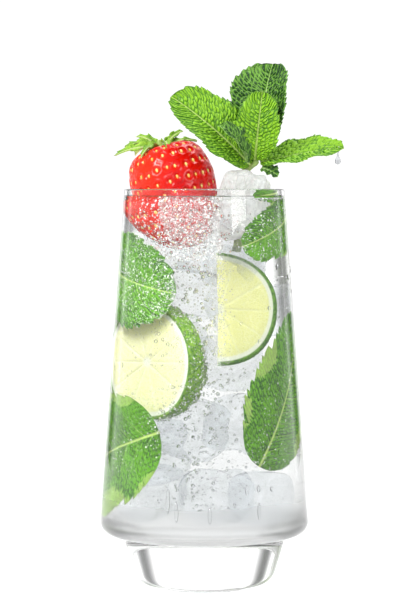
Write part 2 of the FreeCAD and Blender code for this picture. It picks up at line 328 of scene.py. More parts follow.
def bore_at(z):
    """The bore's radius at a height: straight from the floor's corner to the rim."""
    return FLOOR_BORE + (np.asarray(z) - FLOOR_TOP) / (GLASS_TOP - FLOOR_TOP) * (RIM_BORE - FLOOR_BORE)


def densely(outline, longest):
    """The same outline with its long runs cut into steps no longer than a length."""
    parts = []
    for start, end in zip(outline[:-1], outline[1:]):
        steps = max(int(np.ceil(np.linalg.norm(end - start) / longest)), 1)
        parts.append(start + (end - start) * np.linspace(0, 1, steps, endpoint=False)[:, None])
    return np.vstack(parts + [outline[-1:]])


glass_outline = rounded_outline([
    (0, 0, 0), (FOOT_RADIUS, 0, FOOT_ROUNDING), (FOOT_TOP_RADIUS, LEDGE, LEDGE_ROUNDING),
    (BODY_RADIUS, LEDGE, BODY_ROUNDING), (RIM_RADIUS, GLASS_TOP, RIM_ROUNDING),
    (RIM_BORE, GLASS_TOP, RIM_ROUNDING), (FLOOR_BORE, FLOOR_TOP, FLOOR_ROUNDING),
    (0, FLOOR_TOP, 0)], ARC_STEPS)
tumbler = turned("tumbler", densely(glass_outline, LONGEST_STEP), GLASS_SIDES)

# %% [markdown]
# Real glass is never quite flat or clean, so its colour and surface change faintly from place to
# place. Glass and drink let the lamps shine through to what stands in them: a ray tracer would
# otherwise leave the contents in shadow, as it follows light through clear solids only backwards.

# %% Clear glass
glass_finish = Finish("clear_pressed_glass")
glass_place = glass_finish.place()
flow = glass_finish.noise(glass_place, 45.0, 2.0)
specks = glass_finish.noise(glass_place, 900.0, 2.0)
clear_glass = glass_finish.done(glass_finish.lit_through(glass_finish.principled(
    Base_Color=glass_finish.tint(flow, (0.985, 0.99, 0.99), (1.0, 1.0, 1.0)),
    Roughness=specks.between(0.55, 0.9) * 0.02, IOR=1.5, Transmission_Weight=1.0,
    Normal=glass_finish.bump(flow, 0.12 * MM, 0.35))))
settle(tumbler, clear_glass, "glass_clear", "glass")
print("glass top at", round(GLASS_TOP / MM, 1), "mm, drink up to", round(DRINK_TOP / MM, 1), "mm")

# %% [markdown]
# ## The drink
# The drink fills the glass to its level and climbs a little where it wets the wall. Between
# glass and liquid there is no air, so the liquid's surface is set a hair inside the wall: light
# then bends once on its way in, as it does in the real glass.

# %% Liquid
INTO_WALL, MENISCUS, MENISCUS_RUN = 0.12 * MM, 0.9 * MM, 2.2 * MM
level_bore = float(bore_at(DRINK_TOP))
climb = np.linspace(1, 0, 9)[:, None]
surface_line = np.hstack([level_bore + INTO_WALL - MENISCUS_RUN * (1 - climb),
                          DRINK_TOP + MENISCUS * climb ** 3])
drink_wall = rounded_outline([
    (0, FLOOR_TOP - INTO_WALL, 0),
    (FLOOR_BORE + INTO_WALL, FLOOR_TOP - INTO_WALL, FLOOR_ROUNDING),
    (float(bore_at(DRINK_TOP + MENISCUS)) + INTO_WALL, DRINK_TOP + MENISCUS, 0)], ARC_STEPS)
drink_outline = np.vstack([drink_wall[:-1], surface_line, [[0, DRINK_TOP]]])
liquid = turned("liquid", densely(drink_outline, LONGEST_STEP), DRINK_SIDES)

# %% [markdown]
# The drink is clear at the top and its colour turns greyer towards the bottom, and lower down fine
# fizz scatters the light, so it is rougher there. Colour and roughness both follow the height, and
# cloudy noise keeps them uneven.

# %% Sparkling finish
drink_finish = Finish("sparkling_drink")
drink_place = drink_finish.place()
haze = drink_finish.noise(drink_place, 70.0, 4.0, 0.6, 0.6)
drink_height = drink_finish.axis(drink_place, 2)
drink_shade = drink_height.between(28 * MM, 140 * MM) * 0.75 + haze * 0.25
clear_drink = drink_finish.done(drink_finish.lit_through(drink_finish.principled(
    Base_Color=drink_finish.tint(drink_shade, (0.66, 0.67, 0.67), (0.985, 0.99, 0.985)),
    Roughness=haze.between(0.3, 0.8) * 0.02 + drink_height.between(54 * MM, 27 * MM) * 0.32,
    IOR=1.333, Transmission_Weight=1.0, Normal=drink_finish.bump(haze, 0.35 * MM, 0.5))))
settle(liquid, clear_drink, "drink_clear", "drink")

# %% [markdown]
# ## Mint leaves
# A mint leaf is a thin oval blade, folded along its midrib, with saw teeth on its edge. Side
# veins run out to the teeth, and the blade puffs up between them in small cushions. It could be
# a flat card with an image on it, but the cushions catch the light, so they are modelled: the
# height is worked out from the same vein lines that give the colour.


# %% Leaf shape
def quilting(u, v, rng):
    """Random cells on a unit grid: the gap F2 - F1 between a point's two nearest centres, and a
    random number for its cell."""
    column, row = np.floor(u).astype(int), np.floor(v).astype(int)
    shift = rng.uniform(-0.34, 0.34, (64, 64, 2))
    chances = rng.uniform(0, 1, (64, 64))
    nearest, second, chance = np.full(u.shape, 9.0), np.full(u.shape, 9.0), np.zeros(u.shape)
    for du in (-1, 0, 1):
        for dv in (-1, 0, 1):
            near = (column + du) % 64, (row + dv) % 64
            gap = np.hypot(u - (column + du + 0.5 + shift[near][..., 0]),
                           v - (row + dv + 0.5 + shift[near][..., 1]))
            second = np.where(gap < nearest, nearest, np.minimum(second, gap))
            chance = np.where(gap < nearest, chances[near], chance)
            nearest = np.minimum(nearest, gap)
    return second - nearest, chance


FINE_GRID = (220, 101)


def leaf_surface(length, half, teeth, seed, fold, bow, curl=0.0, puff=1.0 * MM, thickness=0.35 * MM,
                 grid=FINE_GRID, powers=(0.5, 0.45), tooth=0.10, cell=1.5 * MM):
    """A leaf in its own frame, x from base to tip, y across, z up, with top and under sheets.

    Half width: s^a (1-s)^b scaled to its greatest, cut back by each saw tooth towards the tip.
    Height: the fold lifts both halves as |y|, the bow arches the midrib as 4s(1-s), the curl
    bends the tip as s^3, and a cushion rises in each cell between the side veins."""
    rng = np.random.default_rng(seed)
    s = np.linspace(0, 1, grid[0])[:, None]
    t = np.linspace(-1, 1, grid[1])[None, :]
    base_power, tip_power = powers
    widest = base_power / (base_power + tip_power)
    swell = (s / widest) ** base_power * ((1 - s) / (1 - widest)) ** tip_power
    side = np.where(t < 0, 0.5, 0.0)
    count_up = s * teeth + side + 0.28 * np.sin(teeth * 1.7 * s + 5 * side + rng.uniform(0, 6))
    phase = count_up % 1.0
    bite = rng.uniform(0.35, 1.25, 90)[(np.floor(count_up).astype(int) + 40 * (side > 0)) % 90]
    cut = 1 - tooth * bite * (1 - phase) ** 1.3 * np.clip(7 * s, 0, 1) * np.abs(t) ** 5
    least = 0.9 * MM * (1 - s) + 0.35 * MM * s
    width = least + (half - least) * swell
    wobble = 1 + np.abs(t) * (0.035 * np.sin(9 * s + rng.uniform(0, 6)) + 0.02 * np.sin(21 * s + 4 * side))
    y = width * t * cut * wobble
    pairs = teeth * 0.5
    vein = (pairs * (s * 1.25 - 0.30 * np.abs(t) ** 1.1) + side
            + 0.10 * np.sin(6 * s + 3 * t + rng.uniform(0, 6))
            + 0.06 * np.sin(23 * s - 9 * t + rng.uniform(0, 6)))
    rows = max(length / (1.25 * pairs * cell), 1.0)
    gap, chance = quilting(vein * rows + 20, np.abs(y) / (cell * 1.25) + 30 * (side > 0) + 0 * s, rng)
    groove = np.exp(-(np.sin(np.pi * vein) / 0.20) ** 2) * (1 - 0.4 * np.abs(t))
    midrib = np.exp(-(np.abs(y) / ((0.75 - 0.45 * s) * MM)) ** 2)
    pillow = np.clip(gap / 0.75, 0, 1) ** 0.7 * (0.55 + 0.45 * chance)
    fade_to_edge = 0.45 + 0.55 * np.clip((1 - np.abs(t)) * 7, 0, 1)
    cushion = pillow * (1 - 0.75 * groove) * (1 - midrib) * fade_to_edge
    # Kept for the finish: the cushion's rise along the leaf, with which one side of each cushion is painted
    # lighter and the other darker, as painted light and shade.
    painted_light_slope = np.gradient(cushion, axis=0) * grid[0] / 60
    lift = np.abs(y) * np.sin(np.radians(fold)) * (0.6 + 0.4 * np.abs(t))
    ripple = 0.7 * MM * np.abs(t) ** 2.5 * np.sin(2 * np.pi * (s * 2.6 + 0.4 * side) + rng.uniform(0, 6))
    spine = bow * 4 * s * (1 - s) - curl * s ** 3
    z = spine + lift + ripple * swell
    hook = length / teeth * 0.3 * (phase - 0.5) * np.clip(7 * s, 0, 1)
    x = length * s + 0 * t + np.abs(t) ** 6 * hook
    flat_y = y * np.cos(np.radians(fold))
    body = thickness * (0.35 + 0.65 * (1 - np.abs(t) ** 8)) / 2
    middle = z - 0.2 * puff * groove
    top = np.stack([x, flat_y, middle + body + puff * cushion - 0.25 * MM * midrib], -1)
    under = np.stack([x, flat_y, middle - body + 0.55 * puff * cushion - 0.45 * MM * midrib], -1)
    return top, under, {"cushion": cushion, "painted_light_slope": painted_light_slope, "chance": chance, "midrib": midrib,
                        "groove": groove}


def closed_blade(top, under, marks):
    """Joins a blade's two sheets into one closed ring of points per station, with end strips."""
    rows, columns = top.shape[:2]
    points = np.concatenate([top, under[:, ::-1]], 1)
    faces = grid_faces(rows, 2 * columns, True)
    k = np.arange(columns - 1)
    first = np.stack([k, k + 1, 2 * columns - 2 - k, 2 * columns - 1 - k], 1)
    last = (first + (rows - 1) * 2 * columns)[:, ::-1]
    kept = {name: np.concatenate([value, value[:, ::-1]], 1) for name, value in marks.items()}
    kept["under"] = np.concatenate([np.zeros((rows, columns)), np.ones((rows, columns))], 1)
    return points.reshape(-1, 3), [faces, first, last], kept


def stand(points, base, tip, face):
    """Puts a leaf's own frame at its base, with x towards the tip and z the way its face looks."""
    base, tip, face = (np.asarray(v, float) for v in (base, tip, face))
    along = unit(tip - base)
    up = unit(face - along * (face @ along))
    across = np.cross(up, along)
    return base + points[..., :1] * along + points[..., 1:2] * across + points[..., 2:] * up

# %% [markdown]
# Fresh mint is a yellowish green, lit through from behind. Its cushions are painted bright and the grooves
# between them deep, as painted light and shade, the midrib is pale, and the underside is duller and paler.
# On the darker leaves the cells are painted instead as dark pockets between light veins, which is painted
# shade. Two greens are mixed by the cushion's height and by how it rises along the leaf, which paints one
# side of each cushion lighter and the other darker, then shifted by cloudy noise so that no two spots match.


# %% Leaf finish
def mint_finish(name, deep, bright, pale, glow, rough, cloudy=0.5, pockets=False, shine=0.5, veins=0.3):
    """A leaf material: painted shade deep in the grooves and painted light bright on the cushions, or the
    reverse where the cells are painted as dark pockets of shade between light veins; one side of each
    cushion painted lighter and the other darker by how it rises along the leaf; pale on the midrib and under."""
    finish = Finish(name)
    place = finish.place()
    cushion, midrib, under = finish.mark("cushion"), finish.mark("midrib"), finish.mark("under")
    cloud = finish.noise(place, 110.0, 3.0, 0.6)
    grain = finish.noise(place, 2600.0, 3.0, 0.7)
    crumple = finish.cells(place, 1500.0, "F1")
    # Painted light and shade: low cushions, or the cells where pockets is set, are painted deep and the rest
    # bright, and the rise along the leaf lightens one side of each cushion and darkens the other.
    raised = 0.62 - cushion * 1.15 if pockets else cushion * 0.8 + 0.14
    shade = (raised - finish.mark("painted_light_slope") * 0.55 + finish.mark("chance") * 0.15
             + (cloud - 0.5) * cloudy + (grain - 0.5) * 0.5)
    colour = finish.tint(shade.between(0.02, 0.80), deep, bright)
    colour = finish.tint(finish.mark("groove").between(0.55, 1.0) * veins, colour, pale)
    colour = finish.tint(midrib.between(0.35, 0.95) * 0.8, colour, pale)
    colour = finish.tint(under * 0.4, colour, pale)
    normal = finish.bump(crumple * 0.6 + grain * 0.4, 0.30 * MM, 0.6)
    blade = finish.principled(Base_Color=colour, Roughness=rough + grain * 0.2, IOR=1.45,
                              Specular_IOR_Level=shine, Normal=normal)
    through = finish.shader("Translucent", Color=colour, Normal=normal)
    return finish.done(finish.mixed(glow, blade, through))


mint_fresh = mint_finish("fresh_mint", (0.030, 0.155, 0.003), (0.27, 0.55, 0.02), (0.60, 0.78, 0.22),
                         glow=0.12, rough=0.34)
# A darker copy of the leaf finish for the back, small and low leaves: its deeper greens and dark pockets are
# painted shade.
mint_shaded = mint_finish("deep_mint", (0.007, 0.060, 0.002), (0.19, 0.43, 0.05), (0.46, 0.66, 0.24),
                        glow=0.10, rough=0.34, cloudy=0.6, pockets=True)
mint_sunk = mint_finish("sunk_mint", (0.008, 0.070, 0.001), (0.12, 0.36, 0.004), (0.56, 0.74, 0.20),
                        glow=0.10, rough=0.4, cloudy=0.9, shine=0.08, veins=0.55)
print("leaf finishes:", mint_fresh.name, mint_shaded.name, mint_sunk.name)

# %% [markdown]
# The sprig's leaves part from the head of the stalk. Each stands where the CAD leaf does: its
# base, its tip and its half width are in millimetres, and face is the way its upper side looks.

# %% The sprig
SMALL_GRID = (120, 61)
SPRIG = {
    "mint_leaf_left": dict(base=(17.4, -5.6, 161.6), tip=(-12.6, -10.0, 187.6), face=(0.22, -0.90, 0.36),
                           half=12.0, bow=3.0, fold=28.0, teeth=15, seed=11, finish=mint_fresh),
    "mint_leaf_back": dict(base=(21.2, -2.8, 164.8), tip=(26.4, 4.0, 200.6), face=(-0.42, -0.90, 0.10),
                           half=14.6, bow=3.0, fold=30.0, teeth=15, seed=12, finish=mint_shaded),
    "mint_leaf_middle": dict(base=(19.3, -6.9, 163.6), tip=(22.0, -11.0, 189.4), face=(-0.05, -0.98, 0.15),
                             half=9.6, bow=2.0, fold=26.0, teeth=12, seed=13, finish=mint_fresh),
    "mint_leaf_small": dict(base=(16.4, -9.8, 163.0), tip=(5.8, -18.0, 176.4), face=(0.35, -0.62, 0.70),
                            half=5.4, bow=2.0, fold=24.0, teeth=11, seed=14, finish=mint_shaded,
                            grid=SMALL_GRID),
    "mint_leaf_right": dict(base=(21.4, -5.6, 162.4), tip=(53.0, -9.0, 168.4), face=(-0.16, -0.52, 0.84),
                            half=8.6, bow=0.6, fold=14.0, teeth=13, seed=15, finish=mint_fresh),
    "mint_leaf_low": dict(base=(21.6, -8.4, 160.4), tip=(28.0, -9.5, 157.4), face=(0.50, -0.70, 0.45),
                          half=3.2, bow=0.6, fold=20.0, teeth=7, seed=16, finish=mint_shaded,
                          grid=SMALL_GRID),
}
for node, leaf in SPRIG.items():
    base, tip = np.array(leaf["base"]) * MM, np.array(leaf["tip"]) * MM
    top, under, marks = leaf_surface(np.linalg.norm(tip - base), leaf["half"] * MM, leaf["teeth"],
                                     leaf["seed"], leaf["fold"], leaf["bow"] * MM,
                                     grid=leaf.get("grid", FINE_GRID))
    points, faces, marks = closed_blade(top, under, marks)
    blade = make_piece(node + "_blade", stand(points, base, tip, leaf["face"]), faces, marks)
    settle(blade, leaf["finish"], "mint_leaf_green", node)

# %% [markdown]
# The stalk of mint is square, with soft ridges, and a little swollen where the leaves part.


# %% The stalk
def swept(line, radii, sides, shape):
    """A tube of points round a line: shape(angle) scales the radius, so a stalk can be square."""
    ahead = unit(np.gradient(line, axis=0))
    across = unit(np.cross(ahead, [0.0, 1.0, 0.0]))
    third = np.cross(ahead, across)
    angle = np.linspace(0, 2 * np.pi, sides, endpoint=False)
    reach = np.asarray(radii)[:, None] * shape(angle)[None, :]
    return (line[:, None] + reach[..., None] * (across[:, None] * np.cos(angle)[:, None]
                                                + third[:, None] * np.sin(angle)[:, None]))


def square_stalk(angle):
    """Four soft ridges: 1 + 0.13 cos(4 angle)."""
    return 1 + 0.13 * np.cos(4 * angle)


stalk_line = smooth_line(np.array([(8.5, 8.6, 128.0), (12.6, 7.4, 154.0), (19.6, -5.0, 163.4)]) * MM, 60)
stalk_swell = 1.15 * MM * (1 + 0.25 * np.exp(-((np.linspace(0, 1, 60) - 0.97) / 0.05) ** 2))
stalk = closed_tube("mint_stalk_rod", swept(stalk_line, stalk_swell, 24, square_stalk))
stalk_finish = Finish("mint_stalk_skin")
stalk_place = stalk_finish.place((1, 1, 0.25))
stalk_streak = stalk_finish.noise(stalk_place, 900.0, 3.0)
stalk_green = stalk_finish.done(stalk_finish.principled(
    Base_Color=stalk_finish.tint(stalk_streak, (0.22, 0.38, 0.05), (0.52, 0.66, 0.20)), Roughness=0.45,
    Normal=stalk_finish.bump(stalk_streak, 0.2 * MM, 0.5)))
settle(stalk, stalk_green, "mint_stalk_green", "mint_stalk")

# %% [markdown]
# ## The strawberry
# A strawberry is a rounded cone with a shallow dimple at its crown and a faint lobed section.
# Its seeds sit in pits, in rings that step round one another. The pits could be a bump texture,
# but they show against the light at the edge, so they are pressed into the mesh round each seed.

# %% Berry shape
BERRY_CROWN = np.array([-16.6, 1.2, 167.8]) * MM
BERRY_TIP = np.array([-4.0, -3.0, 129.5]) * MM
BERRY_HALF = 15.9 * MM
BERRY_STEPS = np.linspace(0, 1, 400)
BERRY_OUTLINE = ((0.0, 0.05), (0.30, 0.0), (0.60, 0.0), (0.86, 0.08), (1.0, 0.27),
                 (0.98, 0.46), (0.85, 0.66), (0.63, 0.83), (0.34, 0.955), (0.0, 1.0))
berry_axis = BERRY_TIP - BERRY_CROWN
berry_length = np.linalg.norm(berry_axis)
berry_axis = berry_axis / berry_length
berry_side = unit(np.cross(berry_axis, [0.0, 1.0, 0.0]))
berry_front = np.cross(berry_axis, berry_side)
berry_curve = smooth_line(BERRY_OUTLINE, len(BERRY_STEPS))


def berry_point(share, angle):
    """A point of the berry: its outline at a share of its run, turned by an angle, with soft lobes."""
    radius = np.interp(share, BERRY_STEPS, berry_curve[:, 0]) * BERRY_HALF
    depth = np.interp(share, BERRY_STEPS, berry_curve[:, 1]) * berry_length
    lobe = 1 + 0.018 * np.cos(3 * angle + 0.6) + 0.014 * np.cos(2 * angle - 0.8)
    return (BERRY_CROWN + depth[..., None] * berry_axis
            + (radius * lobe)[..., None] * (np.cos(angle)[..., None] * berry_side
                                            + np.sin(angle)[..., None] * berry_front))


def away_from_middle(ways, spots):
    """The same directions, turned round where they point at the berry's middle."""
    outwards = np.einsum("...k,...k->...", ways, spots - (BERRY_CROWN + BERRY_TIP) / 2)
    return ways * np.sign(outwards)[..., None]


ring_share = np.linspace(0.14, 0.985, 13)
SEED_GAP, PIT_RADIUS, PIT_DEPTH, PIT_RIM = 4.1 * MM, 1.05 * MM, 0.75 * MM, 0.22 * MM
seed_share, seed_angle = [], []
for n, share in enumerate(ring_share):
    around = np.interp(share, BERRY_STEPS, berry_curve[:, 0]) * BERRY_HALF * 2 * np.pi
    count = max(int(round(around / SEED_GAP)), 1)
    seed_share.append(share + RANDOM.uniform(-0.010, 0.010, count))
    even_angle = (np.arange(count) + 0.5 * (n % 2)) / count * 2 * np.pi
    seed_angle.append(even_angle + RANDOM.uniform(-0.05, 0.05, count))
seed_share, seed_angle = np.concatenate(seed_share), np.concatenate(seed_angle)
seed_spots = berry_point(seed_share, seed_angle)

angle_grid, share_grid = np.meshgrid(np.linspace(0, 2 * np.pi, 320, endpoint=False),
                                     np.linspace(0.004, 0.996, 240))
flesh = berry_point(share_grid, angle_grid)
around_step, down_step = np.roll(flesh, -1, 1) - np.roll(flesh, 1, 1), np.gradient(flesh, axis=0)
outward = away_from_middle(unit(np.cross(down_step, around_step)), flesh)
nearest = np.full(flesh.shape[:2], 1.0)
for spot in seed_spots:
    nearest = np.minimum(nearest, np.linalg.norm(flesh - spot, axis=-1))
pit = np.exp(-(nearest / PIT_RADIUS) ** 2)
pit_rim = np.exp(-((nearest - 2.0 * MM) / (0.8 * MM)) ** 2)
flesh = flesh + outward * (PIT_RIM * pit_rim - PIT_DEPTH * pit)[..., None]
berry_body = closed_tube("strawberry_body", flesh, {
    "pit": np.append(pit.ravel(), [0, 0]), "run": np.append(share_grid.ravel(), [0, 1])})

# %% [markdown]
# The skin is a strong red, a little orange in the pits and pale under the crown, with a wet shine.
# Its left side, towards the key lamp, is painted brighter and more orange, and its right side deeper
# red: painted light and shade, mixed with random blotches. Light spreads a short way in the flesh,
# so a little subsurface is mixed in; more of it would turn the red to pink.

# %% Berry skin
skin_finish = Finish("strawberry_skin")
skin_place = skin_finish.place()
run, pitted = skin_finish.mark("run"), skin_finish.mark("pit")
blotch = skin_finish.noise(skin_place, 85.0, 3.0, 0.5)
fine_skin = skin_finish.noise(skin_place, 1500.0, 3.0, 0.6)
# Painted light: the left side of the berry, which faces the key lamp, is made brighter and more orange.
painted_light_left = skin_finish.axis(skin_place, 0).between(-8 * MM, -30 * MM)
ripe = skin_finish.tint((blotch * 0.5 + painted_light_left * 0.7).between(0.15, 0.95),
                        (0.52, 0.0005, 0.001), (0.84, 0.022, 0.003))
ripe = skin_finish.tint(pitted.between(0.25, 0.9) * 0.75, ripe, (0.80, 0.09, 0.015))
ripe = skin_finish.tint(run.between(0.16, 0.02) * 0.7, ripe, (0.92, 0.45, 0.22))
berry_red = skin_finish.done(skin_finish.principled(
    Base_Color=ripe, Roughness=0.08 + fine_skin * 0.12, Specular_IOR_Level=0.32,
    Subsurface_Weight=0.06, Subsurface_Radius=(3 * MM, 0.8 * MM, 0.5 * MM), Subsurface_Scale=1.0,
    Normal=skin_finish.bump(fine_skin, 0.12 * MM, 0.4)))
settle(berry_body, berry_red, "strawberry_flesh", "strawberry")
print("berry:", round(berry_length / MM, 1), "mm long,", len(seed_spots), "seeds")

# %% [markdown]
# The seeds are all the same small drop shape. One drop of a few dozen faces is copied to every
# place by one array sum, turned so that its long side runs from crown to tip.

# %% Copies of one small shape
def ball(segments, rings):
    """A closed ball of radius one with few faces: its points, its side faces and its end fans."""
    turn = np.linspace(0, 2 * np.pi, segments, endpoint=False)
    lean = np.linspace(0, np.pi, rings + 1)[1:-1]
    side = np.stack([np.sin(lean)[:, None] * np.cos(turn), np.sin(lean)[:, None] * np.sin(turn),
                     np.cos(lean)[:, None] + 0 * turn], -1).reshape(-1, 3)
    points = np.vstack([side, [[0, 0, 1], [0, 0, -1]]])
    return points, grid_faces(rings - 1, segments, True), end_fans(rings - 1, segments)


def copies(name, centres, frames, segments, rings, marks=None, bend=None):
    """One ball copied to each centre; frames holds three axes per copy, already scaled."""
    points, quads, fans = ball(segments, rings)
    if bend is not None:
        points = bend(points)
    spots = centres[:, None] + np.einsum("pk,nkc->npc", points, frames)
    shift = (np.arange(len(centres)) * len(points))[:, None, None]
    faces = [(quads[None] + shift).reshape(-1, 4), (fans[None] + shift).reshape(-1, 3)]
    kept = {label: np.repeat(values, len(points)) for label, values in (marks or {}).items()}
    return make_piece(name, spots.reshape(-1, 3), faces, kept)


def frames_on(normals, lengthways, sizes):
    """Axes for copies that lie on a surface: across, lengthways and outwards, times their sizes."""
    normals = unit(normals)
    ahead = unit(lengthways - normals * np.einsum("ij,ij->i", lengthways, normals)[:, None])
    across = np.cross(ahead, normals)
    return np.stack([across * sizes[:, :1], ahead * sizes[:, 1:2], normals * sizes[:, 2:]], 1)


def seed_drop(points):
    """A ball drawn out to a drop: narrower towards one end."""
    narrow = 1 - 0.3 * points[:, 1]
    return points * np.stack([narrow, np.ones_like(narrow), np.ones_like(narrow)], 1)


NUDGE, SEED_SUNK = 1e-3, 0.36 * MM
seed_along = berry_point(seed_share + NUDGE, seed_angle) - seed_spots
seed_round = berry_point(seed_share, seed_angle + NUDGE) - seed_spots
seed_out = away_from_middle(unit(np.cross(seed_along, seed_round)), seed_spots)
seed_sizes = np.array([0.44, 0.76, 0.30]) * MM * RANDOM.uniform(0.85, 1.15, (len(seed_spots), 1))
berry_seeds = copies("strawberry_seeds", seed_spots - seed_out * SEED_SUNK,
                     frames_on(seed_out, seed_along, seed_sizes), 10, 6,
                     {"shade": RANDOM.uniform(0, 1, len(seed_spots))}, seed_drop)
seed_finish = Finish("strawberry_seed_husk")
seed_grain = seed_finish.noise(seed_finish.place(), 3000.0, 2.0)
husk = seed_finish.tint((seed_finish.mark("shade") * 0.7 + seed_grain * 0.4).between(0.1, 1.0),
                        (0.80, 0.44, 0.07), (0.93, 0.74, 0.25))
seed_gold = seed_finish.done(seed_finish.principled(Base_Color=husk, Roughness=0.35,
                                                    Normal=seed_finish.bump(seed_grain, 0.05 * MM, 0.5)))
settle(berry_seeds, seed_gold, "strawberry_flesh")

# %% [markdown]
# The crown is a ring of narrow pointed sepals round a short stub. Each goes its own way, so each
# has its own base, tip and width. They are narrow leaves without teeth, joined into one piece.


# %% Crown of sepals
SEPALS = [
    dict(base=(-19.0, -2.0, 168.6), tip=(-34.0, -3.5, 166.0), face=(-0.2, -0.75, 0.63), half=2.0),
    dict(base=(-19.0, 0.5, 168.8), tip=(-30.4, 2.0, 169.4), face=(0.1, -0.6, 0.8), half=1.9),
    dict(base=(-18.0, 1.5, 169.0), tip=(-26.0, 4.0, 173.2), face=(0.45, -0.85, 0.3), half=1.9),
    dict(base=(-18.0, -1.5, 169.0), tip=(-24.0, -10.5, 165.4), face=(-0.3, -0.6, 0.75), half=1.8),
    dict(base=(-15.4, -0.5, 170.6), tip=(-13.6, -11.5, 167.6), face=(0.1, -0.7, 0.72), half=1.7),
    dict(base=(-14.6, 0.5, 169.8), tip=(-8.4, 1.5, 175.2), face=(-0.35, -0.9, 0.3), half=1.6),
    dict(base=(-13.8, 0.5, 169.6), tip=(-3.0, 0.5, 171.4), face=(0.0, -0.7, 0.7), half=1.2),
    dict(base=(-14.4, 2.5, 169.2), tip=(-6.0, 11.5, 168.4), face=(0.3, 0.4, 0.9), half=2.5),
    dict(base=(-16.6, 3.0, 169.2), tip=(-16.0, 15.0, 167.6), face=(0.0, 0.4, 0.9), half=2.6),
    dict(base=(-18.6, 2.8, 169.0), tip=(-27.0, 11.5, 166.6), face=(-0.3, 0.4, 0.9), half=2.5),
]


def joined(name, parts):
    """One piece from several (points, face sets, marks): corner numbers move up part by part."""
    shift, points, sets, marks = 0, [], [], {}
    for part_points, part_faces, part_marks in parts:
        if sum(signed_volume(part_points, faces) for faces in part_faces) < 0:
            part_faces = [faces[:, ::-1] for faces in part_faces]
        sets += [faces + shift for faces in part_faces]
        points.append(part_points)
        shift += len(part_points)
        for label, values in part_marks.items():
            marks.setdefault(label, []).append(np.asarray(values).ravel())
    return make_piece(name, np.vstack(points), sets, {k: np.concatenate(v) for k, v in marks.items()})


crown_out = -berry_axis
sepal_parts = []
for n, sepal in enumerate(SEPALS):
    base, tip = np.array(sepal["base"]) * MM, np.array(sepal["tip"]) * MM
    top, under, marks = leaf_surface(np.linalg.norm(tip - base), sepal["half"] * MM, teeth=3, seed=40 + n,
                                     fold=26.0, bow=1.3 * MM, curl=0.6 * MM, puff=0.12 * MM,
                                     thickness=0.4 * MM, grid=(44, 17), powers=(0.35, 0.95),
                                     tooth=0.0, cell=0.8 * MM)
    points, faces, marks = closed_blade(top, under, marks)
    sepal_parts.append((stand(points, base, tip, sepal["face"]), faces, marks))
calyx = joined("strawberry_crown", sepal_parts)
calyx_green = mint_finish("sepal_green", (0.07, 0.25, 0.008), (0.40, 0.66, 0.06), (0.74, 0.82, 0.36),
                          glow=0.2, rough=0.5, cloudy=1.3)
settle(calyx, calyx_green, "calyx_green", "strawberry_calyx")

def ribbed_stub(angle):
    """Five faint ribs: 1 + 0.06 cos(5 angle)."""
    return 1 + 0.06 * np.cos(5 * angle)


stub_line = smooth_line(np.array([BERRY_CROWN + crown_out * h * MM + berry_side * x * MM
                                  for h, x in ((-1.0, 0.0), (1.6, 0.1), (3.6, 0.5))]), 16)
stub_radii = np.linspace(1.5, 1.15, 16) * MM
stub = closed_tube("strawberry_stub", swept(stub_line, stub_radii, 20, ribbed_stub))
settle(stub, stalk_green, "calyx_green")

# %% [markdown]
# ## Ice
# Ice cubes in a drink melt to rounded lumps with soft hollows and a milky core. A rounded box is
# the surface where |x/a|^p + |y/b|^p + |z/c|^p = 1, and low waves in three directions melt it.


# %% Ice lumps
def ice_lump(name, centre, sides, turns, seed, power, melt, rows=72, columns=108):
    """A melted cube: the radius along each direction, from the box rule above, times soft waves."""
    rng = np.random.default_rng(seed)
    lean, turn = np.meshgrid(np.linspace(0.02, np.pi - 0.02, rows),
                             np.linspace(0, 2 * np.pi, columns, endpoint=False), indexing="ij")
    way = np.stack([np.sin(lean) * np.cos(turn), np.sin(lean) * np.sin(turn), np.cos(lean)], -1)
    half = np.asarray(sides) / 2
    reach = (np.abs(way / half) ** power).sum(-1) ** (-1 / power)
    for wave in range(7):
        pull = rng.normal(size=3) * (1.5 + wave * 0.9)
        reach = reach * (1 + melt / (1 + wave * 0.55) * np.sin(way @ pull + rng.uniform(0, 6)))
    points = way * reach[..., None]
    yaw, pitch, roll = np.radians(turns)
    about_z = np.array([[np.cos(yaw), -np.sin(yaw), 0], [np.sin(yaw), np.cos(yaw), 0], [0, 0, 1]])
    about_y = np.array([[np.cos(pitch), 0, np.sin(pitch)], [0, 1, 0], [-np.sin(pitch), 0, np.cos(pitch)]])
    about_x = np.array([[1, 0, 0], [0, np.cos(roll), -np.sin(roll)], [0, np.sin(roll), np.cos(roll)]])
    return closed_tube(name, points @ (about_z @ about_y @ about_x).T + np.asarray(centre))


